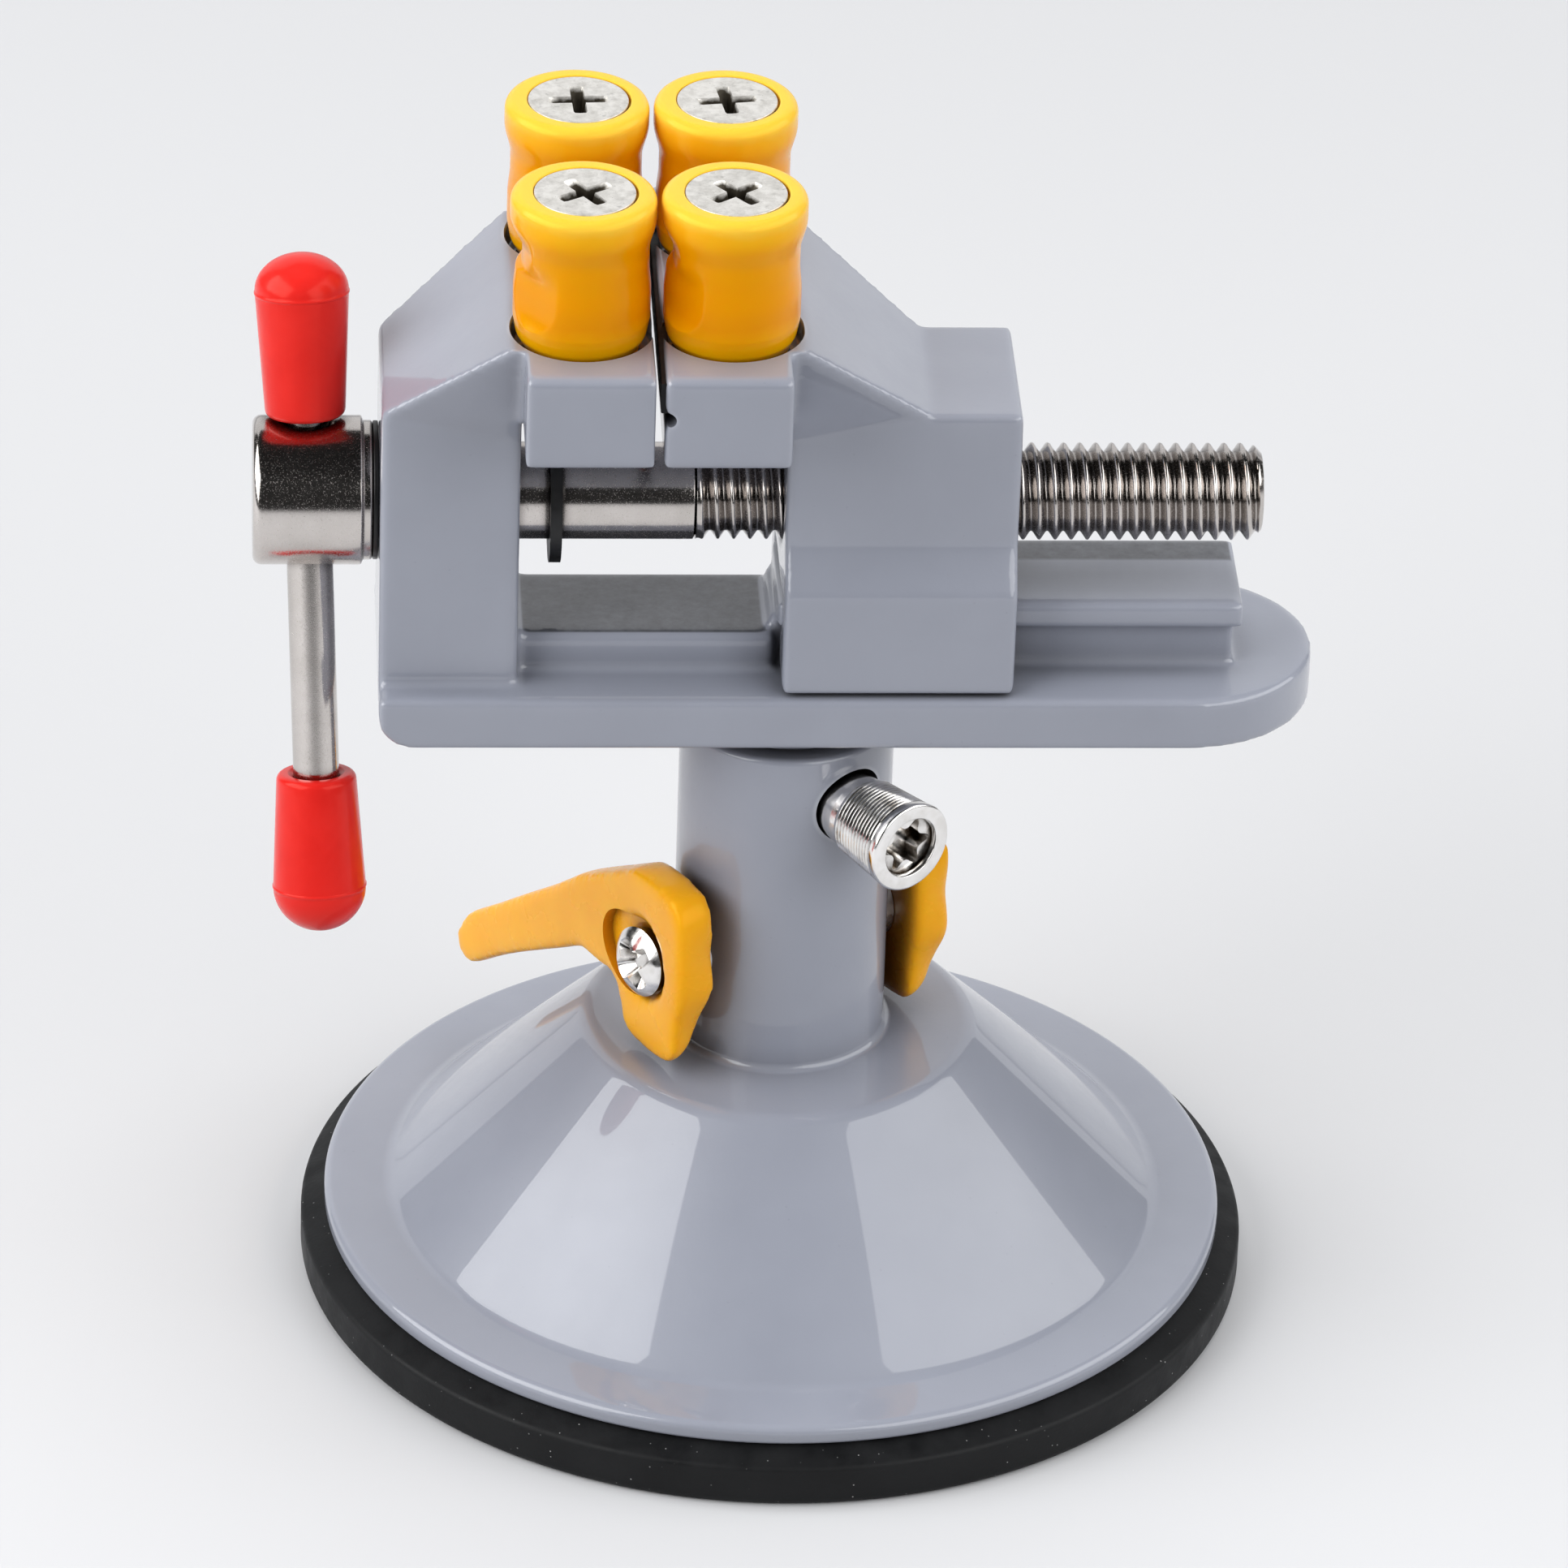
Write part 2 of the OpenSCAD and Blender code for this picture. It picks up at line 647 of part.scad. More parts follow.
// Moving jaw: a saddle on the tee rail with a lip and a threaded bore
face_groove_d = 1.5;
face_groove_drop = 4.6;
saddle_top_z = tee_top_z + rail_clear;
saddle_low_z = tee_low_z - rail_clear;
skirt_low_z = plate_top_z + rail_clear;
skirt_top_z = plate_top_z + skirt_h;
skirt_blend = 4.4;
module moving_jaw() {
    flat_x = mover_right_x - mover_flat_l;
    lip_end = mover_lip_x + lip_l;
    color([0.66, 0.67, 0.71])
        difference() {
            union() {
                run_block([
                    [-skirt_w / 2, skirt_low_z, 0],
                    [skirt_w / 2, skirt_low_z, 0],
                    [skirt_w / 2, skirt_top_z, 0],
                    [body_w / 2, skirt_top_z + skirt_blend, 0],
                    [body_w / 2, jaw_low_z - crease_drop, 0],
                    [-body_w / 2, jaw_low_z - crease_drop, 0],
                    [-body_w / 2, skirt_top_z + skirt_blend, 0],
                    [-skirt_w / 2, skirt_top_z, 0]
                ], mover_left_x, mover_right_x);
                side_block([
                    [mover_left_x, skirt_top_z + skirt_blend, 0],
                    [mover_right_x, skirt_top_z + skirt_blend, 0],
                    [mover_right_x, jaw_low_z, edge],
                    [flat_x, jaw_low_z, 0],
                    [lip_end + jaw_root_l, jaw_top_z, 0],
                    [lip_end - over, jaw_top_z, 0],
                    [lip_end - over, jaw_top_z - lip_h + over, 0],
                    [mover_left_x, jaw_top_z - lip_h + over, 0]
                ], body_w);
                jaw_flare(flat_x, lip_end + jaw_root_l);
                jaw_root(lip_end, lip_end + jaw_root_l);
                jaw_lip(mover_lip_x, lip_end);
            }
            // Tee channel
            run_block([
                [-neck_w / 2 - rail_clear, skirt_low_z - over, 0],
                [neck_w / 2 + rail_clear, skirt_low_z - over, 0],
                [neck_w / 2 + rail_clear, saddle_low_z, 0],
                [tee_w / 2 + rail_clear, saddle_low_z, 0],
                [tee_w / 2 + rail_clear, saddle_top_z, 0],
                [-tee_w / 2 - rail_clear, saddle_top_z, 0],
                [-tee_w / 2 - rail_clear, saddle_low_z, 0],
                [-neck_w / 2 - rail_clear, saddle_low_z, 0]
            ], mover_left_x - over, mover_right_x + over);
            translate([0, 0, screw_z])
                bar_x(screw_d + 2 * run_clear, mover_left_x - over, mover_right_x + over);
            post_pockets(gap_x + post_inset);
            translate([mover_lip_x, 0, jaw_top_z - face_groove_drop])
                rotate([90, 0, 0])
                    cylinder(d = face_groove_d, h = lip_w + over, center = true);
        }
}

// Lead screw: head, shank and threaded part in one piece
washer_t = 0.55;
washer_gap = 0.05;
head_right_x = -plate_left - washer_t - 2 * washer_gap;
head_left_x = head_right_x - head_l;
rim_l = 0.9;
rim_d = head_d - 2 * edge;
handle_x = head_left_x + (head_l - rim_l) / 2;
clip_in_d = 8.4;
clip_place = 3.2;
clip_x = wall_right_x + clip_place;
relief_w = 0.9;
relief_deep = 0.35;
bar_hole_d = bar_d / cos(bar_lean) + head_d * tan(bar_lean) + 2 * run_clear;
module lead_screw() {
    color([0.72, 0.71, 0.7])
        translate([0, 0, screw_z]) difference() {
            rotate([0, 90, 0])
                turned([
                    [0, head_left_x, 0],
                    [head_d / 2, head_left_x, cast_edge],
                    [head_d / 2, head_right_x - rim_l, 0],
                    [rim_d / 2, head_right_x - rim_l, 0],
                    [rim_d / 2, head_right_x, edge],
                    [screw_d / 2, head_right_x, 0],
                    [screw_d / 2, clip_x, 0],
                    [clip_in_d / 2, clip_x, 0],
                    [clip_in_d / 2, clip_x + clip_t, 0],
                    [screw_d / 2, clip_x + clip_t, 0],
                    [screw_d / 2, -thread_left - relief_w, 0],
                    [screw_d / 2 - relief_deep, -thread_left - relief_w + relief_deep, 0],
                    [screw_d / 2 - relief_deep, -thread_left - relief_deep, 0],
                    [screw_d / 2, -thread_left, 0],
                    [screw_d / 2, screw_right - cast_edge, 0],
                    [screw_d / 2 - cast_edge, screw_right, 0],
                    [0, screw_right, 0]
                ]);
            translate([handle_x, 0, 0]) rotate([-bar_tilt, 0, 0])
                cylinder(d = bar_hole_d, h = head_d + over, center = true);
        }
}

// Thin black washer between the screw head and the jaw wall
washer_d = head_d - 2 * edge;
module thrust_washer() {
    color([0.08, 0.08, 0.08])
        translate([0, 0, screw_z]) difference() {
            bar_x(washer_d, head_right_x + washer_gap, head_right_x + washer_gap + washer_t);
            bar_x(screw_d + 2 * run_clear, head_right_x - over, -plate_left + over);
        }
}

// Open retaining clip in the groove of the shank
clip_mouth = 6.4;
module retaining_clip() {
    color([0.1, 0.1, 0.1])
        translate([0, 0, screw_z]) difference() {
            bar_x(clip_d, clip_x, clip_x + clip_t);
            bar_x(clip_in_d, clip_x - over, clip_x + clip_t + over);
            translate([clip_x - over, -clip_mouth / 2, 0])
                cube([clip_t + 2 * over, clip_mouth, clip_d]);
        }
}

// Handle bar, resting low in the cross hole of the screw head
grip_rest = head_d / 2 * cos(bar_lean) + grip_neck_d / 2 * sin(bar_lean) + pass_gap / 2;
grip_bore_deep = 13;
module handle_bar() {
    color([0.72, 0.7, 0.68])
        on_bar()
            translate([0, 0, grip_rest - bar_free - grip_bore_deep])
                cylinder(d = bar_d, h = bar_free + 2 * grip_bore_deep);
}
// Grip with its open end at the origin and its dome upwards
grip_dome_h = 4.4;
module grip() {
    color([0.9, 0.16, 0.13])
        difference() {
            turned([
                [0, 0, 0],
                [grip_neck_d / 2, 0, edge],
                [grip_d / 2, grip_l - grip_dome_h, 0],
                [grip_d / 2, grip_l, grip_dome_h - edge],
                [0, grip_l, 0]
            ]);
            translate([0, 0, -over]) cylinder(d = bar_d, h = grip_bore_deep + over);
        }
}
module grip_top() {
    on_bar() translate([0, 0, grip_rest]) grip();
}
module grip_bottom() {
    on_bar() translate([0, 0, grip_rest - bar_free]) rotate([180, 0, 0]) grip();
}

// Clamp post: foot in its pocket, waist and flared head
foot_round = 2.6;
head_round = 0.9;
post_head_h = 3.2;
post_neck_h = 1.6;
post_foot_h = 6;
seat_clear = 0.2;
csk_deep = 2.7;
csk_land = 0.6;
post_bore_d = post_screw_d + 2 * run_clear;
post_low_z = pocket_z + pass_gap / 2;
post_top_z = jaw_top_z + post_h;
flute_d = 9;
flute_deep = 0.9;
flute_low = 4;
flute_high = 1;
flute_angle = 120;
module clamp_post(x, y) {
    seat_d = post_screw_head_d + 2 * seat_clear;
    flute_z = post_low_z + flute_low;
    color([0.97, 0.74, 0.12])
        translate([x, y, 0]) difference() {
            turned([
                [post_bore_d / 2, post_low_z, 0],
                [post_foot_d / 2, post_low_z, foot_round],
                [post_foot_d / 2, post_low_z + post_foot_h, 0],
                [post_waist_d / 2, post_low_z + post_foot_h + foot_round, 0],
                [post_waist_d / 2, post_top_z - post_head_h - post_neck_h, 0],
                [post_head_d / 2, post_top_z - post_head_h, 0],
                [post_head_d / 2, post_top_z, head_round],
                [seat_d / 2, post_top_z, 0],
                [seat_d / 2, post_top_z - csk_land - seat_clear, 0],
                [post_bore_d / 2, post_top_z - csk_land - csk_deep - seat_clear, 0]
            ]);
            rotate([0, 0, flute_angle])
                translate([0, post_waist_d / 2 + flute_d / 2 - flute_deep, flute_z])
                    cylinder(d = flute_d, h = post_top_z - post_head_h - flute_high - flute_z);
        }
}
module post_fixed_front() { clamp_post(gap_x - post_inset, -post_pitch / 2); }
module post_fixed_rear() { clamp_post(gap_x - post_inset, post_pitch / 2); }
module post_moving_front() { clamp_post(gap_x + post_inset, -post_pitch / 2); }
module post_moving_rear() { clamp_post(gap_x + post_inset, post_pitch / 2); }

// Countersunk cross-recess screws that carry the posts
post_cross_l_share = 0.5;
post_cross_w = 1.3;
post_cross_deep = 1.5;
post_cross_turn = [20, 50];
module post_screw(x, y, turn) {
    translate([x, y, 0]) difference() {
        turned([
            [0, pocket_z - post_screw_l, 0],
            [post_screw_d / 2, pocket_z - post_screw_l, edge],
            [post_screw_d / 2, post_top_z - csk_land - csk_deep, 0],
            [post_screw_head_d / 2, post_top_z - csk_land, 0],
            [post_screw_head_d / 2, post_top_z, 0],
            [0, post_top_z, 0]
        ]);
        translate([0, 0, post_top_z]) rotate([0, 0, turn])
            cross_cut(post_cross_l_share * post_screw_head_d, post_cross_w, post_cross_deep);
    }
}
module post_screw_pair(x) {
    color([0.84, 0.83, 0.8])
        for (i = [0, 1])
            post_screw(x, (2 * i - 1) * post_pitch / 2, post_cross_turn[i]);
}
module post_screws_fixed() { post_screw_pair(gap_x - post_inset); }
module post_screws_moving() { post_screw_pair(gap_x + post_inset); }

rubber_pad();
base_casting();
pad_boss();
lift_disc();
pull_stem();
cam_axle();
lever_left();
lever_right();
lever_screws();
set_screw();
swivel_spigot();
vise_base();
moving_jaw();
lead_screw();
thrust_washer();
retaining_clip();
handle_bar();
grip_top();
grip_bottom();
post_fixed_front();
post_fixed_rear();
post_moving_front();
post_moving_rear();
post_screws_fixed();
post_screws_moving();
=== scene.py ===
import json
import math

import bmesh
import bpy
from mathutils import Matrix, Vector


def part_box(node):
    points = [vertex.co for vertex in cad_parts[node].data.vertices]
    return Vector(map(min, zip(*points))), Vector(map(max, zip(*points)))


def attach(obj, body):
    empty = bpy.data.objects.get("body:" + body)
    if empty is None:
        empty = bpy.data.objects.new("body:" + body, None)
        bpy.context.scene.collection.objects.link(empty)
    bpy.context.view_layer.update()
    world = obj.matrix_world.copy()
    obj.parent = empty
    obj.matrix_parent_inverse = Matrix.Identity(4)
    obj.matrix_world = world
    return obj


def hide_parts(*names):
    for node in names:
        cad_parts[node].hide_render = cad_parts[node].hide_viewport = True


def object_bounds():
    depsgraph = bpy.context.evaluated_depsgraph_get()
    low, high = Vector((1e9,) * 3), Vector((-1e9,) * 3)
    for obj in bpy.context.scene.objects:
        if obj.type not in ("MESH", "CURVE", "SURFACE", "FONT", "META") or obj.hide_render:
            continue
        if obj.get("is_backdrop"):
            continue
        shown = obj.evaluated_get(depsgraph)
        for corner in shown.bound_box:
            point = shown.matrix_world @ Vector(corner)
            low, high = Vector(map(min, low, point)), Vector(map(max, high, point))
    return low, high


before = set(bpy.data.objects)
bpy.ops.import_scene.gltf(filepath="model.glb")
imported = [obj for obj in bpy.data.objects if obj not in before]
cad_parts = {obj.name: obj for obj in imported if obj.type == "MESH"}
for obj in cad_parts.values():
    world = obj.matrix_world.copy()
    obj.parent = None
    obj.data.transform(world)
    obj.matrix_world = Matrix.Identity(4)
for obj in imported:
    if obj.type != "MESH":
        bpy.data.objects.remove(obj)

cad_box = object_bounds()

# Lengths below are in millimetres
MM = 0.001
TAU = 2 * math.pi


# Camera
CAMERA_AZIMUTH = -0.068
CAMERA_HEIGHT = 0.535
CAMERA_ROLL = 0.035
CAMERA_DISTANCE = 1100
CAMERA_SIDE = -0.115
CAMERA_AIM_Z = 56.732
CAMERA_LENS = 242.61
SENSOR_W = 36


def make_camera():
    """Sets the camera at the photograph's place, aimed at the middle of the vise."""
    sin_a, cos_a = math.sin(CAMERA_AZIMUTH), math.cos(CAMERA_AZIMUTH)
    sin_h, cos_h = math.sin(CAMERA_HEIGHT), math.cos(CAMERA_HEIGHT)
    back = Vector((sin_a * cos_h, -cos_a * cos_h, sin_h))
    right = Vector((cos_a, sin_a, 0))
    up = right.cross(-back)
    turned_right = right * math.cos(CAMERA_ROLL) + up * math.sin(CAMERA_ROLL)
    turned_up = up * math.cos(CAMERA_ROLL) - right * math.sin(CAMERA_ROLL)
    aim = right * CAMERA_SIDE + Vector((0, 0, CAMERA_AIM_Z))
    place = (aim + back * CAMERA_DISTANCE) * MM
    data = bpy.data.cameras.new("camera")
    data.sensor_width = SENSOR_W
    data.lens = CAMERA_LENS
    data.clip_end = 20
    camera = bpy.data.objects.new("camera", data)
    bpy.context.scene.collection.objects.link(camera)
    rows = [[turned_right[i], turned_up[i], back[i], place[i]] for i in range(3)]
    camera.matrix_world = Matrix(rows + [[0, 0, 0, 1]])
    bpy.context.scene.camera = camera


make_camera()


# Sizes taken from the frame
def corners(node):
    """Lowest and highest corners of a CAD node, in millimetres."""
    low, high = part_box(node)
    return Vector(low) / MM, Vector(high) / MM


def middle(node):
    """Middle of a CAD node's box, in millimetres."""
    low, high = corners(node)
    return (low + high) / 2


PAD_HIGH = corners("rubber_pad")[1]
BASE_HIGH = corners("base_casting")[1]
SCREW_LOW, SCREW_HIGH = corners("lead_screw")
CLIP_LOW, CLIP_HIGH = corners("retaining_clip")
WASHER_LOW, WASHER_HIGH = corners("thrust_washer")
SCREW_Z = middle("thrust_washer").z
AXLE_Z = middle("cam_axle").z
POST_TOP = corners("post_fixed_front")[1].z

# Clamp posts: node, its body, its carrier, turn of the dents and of the cross
POST_NODES = (
    ("post_fixed_front", "post_a", "head", 0, 33),
    ("post_fixed_rear", "post_b", "head", -95, 3),
    ("post_moving_front", "post_c", "jaw", -4, 38),
    ("post_moving_rear", "post_d", "jaw", -88, 8))


# Outlines
def rounded(rows, steps=6):
    """Closed outline from rows of x, y and corner radius."""
    points = []
    for i, (x, y, radius) in enumerate(rows):
        corner = Vector((x, y))
        if radius <= 0:
            points.append(corner)
            continue
        to_last = (Vector(rows[i - 1][:2]) - corner).normalized()
        to_next = (Vector(rows[(i + 1) % len(rows)][:2]) - corner).normalized()
        half = math.acos(max(-1, min(1, to_last.dot(to_next)))) / 2
        back = radius / math.tan(half)
        centre = corner + (to_last + to_next).normalized() * radius / math.sin(half)
        start = corner + to_last * back - centre
        end = corner + to_next * back - centre
        first = math.atan2(start.y, start.x)
        turn = (math.atan2(end.y, end.x) - first + 3 * math.pi) % TAU - math.pi
        for k in range(steps + 1):
            angle = first + turn * k / steps
            points.append(centre + Vector((math.cos(angle), math.sin(angle))) * radius)
    return points


def spread(points, step):
    """Adds points along the outline so that none lie further apart than step."""
    out = []
    for a, b in zip(points, points[1:] + points[:1]):
        count = max(1, math.ceil((b - a).length / step))
        out += [a.lerp(b, k / count) for k in range(count)]
    return out


def plain(*rows):
    """Outline with plain corners, from pairs of x and y."""
    return [Vector(row) for row in rows]


def polar(radius, angle):
    """Point at a radius and an angle."""
    return Vector((radius * math.cos(angle), radius * math.sin(angle)))


def smooth_step(value):
    """Goes smoothly from 0 to 1 as the value does, and stays there beyond."""
    value = max(0.0, min(1.0, value))
    return value * value * (3 - 2 * value)


def angle_between(a, b):
    """Smallest turn between two angles."""
    return abs((a - b + math.pi) % TAU - math.pi)


# Meshes, with the angles over which an edge counts as sharp
SHARP = math.radians(38)
SHARP_CAST = math.radians(50)
SHARP_SCREW = math.radians(30)
SHARP_THREAD = math.radians(60)
WELD = 1e-7

# Turn that lays Z towards the front
TO_FRONT = Matrix.Rotation(math.pi / 2, 4, "X")


def lathe(points, segments=128, warp=None):
    """Turns an outline of radius and height about Z; warp may change a radius."""
    bm = bmesh.new()
    rings = []
    for radius, height in points:
        if radius < 1e-6:
            rings.append([bm.verts.new((0, 0, height))])
            continue
        ring = []
        for k in range(segments):
            angle = TAU * k / segments
            r = warp(angle, height, radius) if warp else radius
            ring.append(bm.verts.new((r * math.cos(angle), r * math.sin(angle), height)))
        rings.append(ring)
    for low, high in zip(rings, rings[1:] + rings[:1]):
        if len(low) == 1 and len(high) == 1:
            continue
        for k in range(segments):
            n = (k + 1) % segments
            corner = [low[k % len(low)], low[n % len(low)], high[n % len(high)], high[k % len(high)]]
            bm.faces.new(list(dict.fromkeys(corner)))
    return bm


def cylinder(radius, low, high, segments):
    """Plain cylinder about Z."""
    return lathe(plain((0, low), (radius, low), (radius, high), (0, high)), segments)


def prism(points, height, base=0.0):
    """Extrudes an outline along Z."""
    bm = bmesh.new()
    bottom = [bm.verts.new((p.x, p.y, base)) for p in points]
    top = [bm.verts.new((p.x, p.y, base + height)) for p in points]
    bm.faces.new(bottom[::-1])
    bm.faces.new(top)
    for i in range(len(points)):
        j = (i + 1) % len(points)
        bm.faces.new((bottom[i], bottom[j], top[j], top[i]))
    return bm


def shade_smooth(bm, sharp):
    """Shades a mesh smooth, but for the edges where its faces meet steeply."""
    for face in bm.faces:
        face.smooth = True
    for edge in bm.edges:
        if len(edge.link_faces) == 2:
            edge.smooth = edge.calc_face_angle(0) < sharp


def place_piece(name, bm, place=None, sharp=SHARP):
    """Makes an object from a mesh in millimetres, put at its place."""
    if place is not None:
        bm.transform(place)
    bm.transform(Matrix.Scale(MM, 4))
    bmesh.ops.remove_doubles(bm, verts=bm.verts, dist=WELD)
    bmesh.ops.recalc_face_normals(bm, faces=bm.faces)
    shade_smooth(bm, sharp)
    mesh = bpy.data.meshes.new(name)
    bm.to_mesh(mesh)
    bm.free()
    piece = bpy.data.objects.new(name, mesh)
    bpy.context.scene.collection.objects.link(piece)
    return piece


def settle(piece):
    """Applies a piece's modifiers to its mesh."""
    bpy.context.view_layer.update()
    graph = bpy.context.evaluated_depsgraph_get()
    mesh = bpy.data.meshes.new_from_object(piece.evaluated_get(graph))
    piece.modifiers.clear()
    old = piece.data
    piece.data = mesh
    bpy.data.meshes.remove(old)


def carve(piece, *cutters):
    """Cuts other meshes, in millimetres and in place, out of a piece."""
    for bm in cutters:
        tool = place_piece("tool", bm)
        cut = piece.modifiers.new("cut", "BOOLEAN")
        cut.operation = "DIFFERENCE"
        cut.solver = "EXACT"
        cut.object = tool
        settle(piece)
        bpy.data.objects.remove(tool)


def resharpen(piece, sharp=SHARP):
    """Marks the sharp edges of a carved piece anew."""
    bm = bmesh.new()
    bm.from_mesh(piece.data)
    shade_smooth(bm, sharp)
    bm.to_mesh(piece.data)
    bm.free()


def soft_copy(name, node, voxel, rounds, fills=()):
    """Copy of a CAD solid as a casting or moulding, with its edges and inner corners rounded."""
    bm = bmesh.new()
    bm.from_mesh(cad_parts[node].data)
    bm.transform(Matrix.Scale(1 / MM, 4))
    for fill in fills:
        mesh = bpy.data.meshes.new("fill")
        fill.to_mesh(mesh)
        fill.free()
        bm.from_mesh(mesh)
        bpy.data.meshes.remove(mesh)
    piece = place_piece(name, bm)
    remesh = piece.modifiers.new("remesh", "REMESH")
    remesh.mode = "VOXEL"
    remesh.voxel_size = voxel * MM
    remesh.use_smooth_shade = True
    smooth = piece.modifiers.new("smooth", "SMOOTH")
    smooth.factor = 0.5
    smooth.iterations = rounds
    settle(piece)
    for polygon in piece.data.polygons:
        polygon.use_smooth = True
    return piece


def dress(piece, material, body, slot, *nodes):
    """Gives a piece its material and body, and hides the CAD nodes it stands for."""
    piece.data.materials.clear()
    piece.data.materials.append(material)
    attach(piece, body)
    if nodes:
        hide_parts(*nodes)
    return piece


def on_screw(x=0.0):
    """Place on the lead screw's axis, with its own Z along it."""
    return Matrix.Translation((x, 0, SCREW_Z)) @ Matrix.Rotation(math.pi / 2, 4, "Y")


# Materials
class Shade:
    """A procedural material: one principled shader and helpers that feed it."""

    def __init__(self, name, color, roughness, **inputs):
        self.material = bpy.data.materials.new(name)
        self.material.use_nodes = True
        self.nodes = self.material.node_tree.nodes
        self.links = self.material.node_tree.links
        self.shader = self.nodes["Principled BSDF"]
        self.shader.inputs["Base Color"].default_value = (*color, 1)
        self.shader.inputs["Roughness"].default_value = roughness
        for key, value in inputs.items():
            self.shader.inputs[key.replace("_", " ")].default_value = value
        self.place = self.nodes.new("ShaderNodeTexCoord").outputs["Object"]
        self.normal = None

    def noise(self, size, detail=2.0, roughness=0.5, distortion=0.0):
        """Noise whose features are about size millimetres across."""
        node = self.nodes.new("ShaderNodeTexNoise")
        node.inputs["Scale"].default_value = 1 / (size * MM)
        node.inputs["Detail"].default_value = detail
        node.inputs["Roughness"].default_value = roughness
        node.inputs["Distortion"].default_value = distortion
        self.links.new(self.place, node.inputs["Vector"])
        return node.outputs["Fac"]

    def cells(self, size):
        """Distance to the nearest of many scattered points, about size millimetres apart."""
        node = self.nodes.new("ShaderNodeTexVoronoi")
        node.inputs["Scale"].default_value = 1 / (size * MM)
        self.links.new(self.place, node.inputs["Vector"])
        return node.outputs["Distance"]

    def ramp(self, value, *stops):
        """Value or colour ramp through rows of position and value."""
        node = self.nodes.new("ShaderNodeValToRGB")
        marks = node.color_ramp.elements
        while len(marks) < len(stops):
            marks.new(0.5)
        for mark, (position, tone) in zip(marks, stops):
            mark.position = position
            mark.color = (*tone, 1) if isinstance(tone, tuple) else (tone, tone, tone, 1)
        self.links.new(value, node.inputs["Fac"])
        return node.outputs["Color"]

    def math(self, operation, a, b=0.0):
        """One operation on two values."""
        node = self.nodes.new("ShaderNodeMath")
        node.operation = operation
        for socket, value in zip(node.inputs, (a, b)):
            if isinstance(value, (int, float)):
                socket.default_value = value
            else:
                self.links.new(value, socket)
        return node.outputs["Value"]

    def scaled(self, value, amount):
        """A value times an amount."""
        return self.math("MULTIPLY", value, amount)

    def clouded(self, value, noise, swing):
        """A value moved up and down by a noise, by at most half of swing."""
        return self.math("ADD", value, self.scaled(self.math("SUBTRACT", noise, 0.5), swing))

    def mix(self, share, a, b):
        """Goes from a to b as the share goes from 0 to 1."""
        node = self.nodes.new("ShaderNodeMix")
        node.data_type = "RGBA"
        for key, value in (("Factor", share), ("A", a), ("B", b)):
            socket = [s for s in node.inputs if s.name == key and s.enabled][0]
            if isinstance(value, tuple):
                socket.default_value = (*value, 1)
            elif isinstance(value, (int, float)):
                socket.default_value = value
            else:
                self.links.new(value, socket)
        return [s for s in node.outputs if s.enabled][0]

    def along(self, axis):
        """Place along an axis, in millimetres, at rest."""
        node = self.nodes.new("ShaderNodeSeparateXYZ")
        self.links.new(self.place, node.inputs["Vector"])
        return self.math("DIVIDE", node.outputs[axis], MM)

    def height(self):
        """Height above the table, in millimetres, at rest."""
        return self.along("Z")

    def below(self, level):
        """Depth below a height, in millimetres, at rest."""
        return self.math("SUBTRACT", level, self.height())

    def at_height(self, level):
        """1 close to a height and 0 away from it, at rest."""
        away = self.math("ABSOLUTE", self.math("SUBTRACT", self.height(), level))
        return self.ramp(away, (0.2, 1.0), (0.4, 0.0))

    def upward(self):
        """How far a face looks up, 1 for a level one."""
        geometry = self.nodes.new("ShaderNodeNewGeometry")
        node = self.nodes.new("ShaderNodeSeparateXYZ")
        self.links.new(geometry.outputs["Normal"], node.inputs["Vector"])
        return node.outputs["Z"]

    def crevice(self, reach, inside=False):
        """1 in the open and 0 in a narrow crevice or, seen from inside, the same for thin edges."""
        node = self.nodes.new("ShaderNodeAmbientOcclusion")
        node.samples = 6
        node.inside = inside
        node.inputs["Distance"].default_value = reach * MM
        return node.outputs["AO"]

    def color(self, value):
        self.links.new(value, self.shader.inputs["Base Color"])

    def rough(self, value):
        self.links.new(value, self.shader.inputs["Roughness"])

    def bump(self, value, depth):
        """Bump of a depth in millimetres, on top of any bump before it."""
        node = self.nodes.new("ShaderNodeBump")
        node.inputs["Distance"].default_value = depth * MM
        node.inputs["Strength"].default_value = 1.0
        self.links.new(value, node.inputs["Height"])
        if self.normal:
            self.links.new(self.normal, node.inputs["Normal"])
        self.normal = node.outputs["Normal"]
        self.links.new(self.normal, self.shader.inputs["Normal"])


# Tops of the tee and of the ridge, and how far behind the middle the tee's dark top starts
TEE_TOP = 82.3
RIDGE_TOP = 78.5
TEE_BACK = 2.8


def dark_rail_tops(s):
    """1 on the level tops of the ridge and of the back of the tee, and 0 elsewhere."""
    behind = s.ramp(s.math("DIVIDE", s.along("Y"), TEE_BACK), (0.75, 0.0), (0.95, 1.0))
    tee = s.math("MULTIPLY", s.at_height(TEE_TOP), behind)
    level = s.ramp(s.upward(), (0.9, 0.0), (0.97, 1.0))
    return s.math("MULTIPLY", s.math("MAXIMUM", tee, s.at_height(RIDGE_TOP)), level)


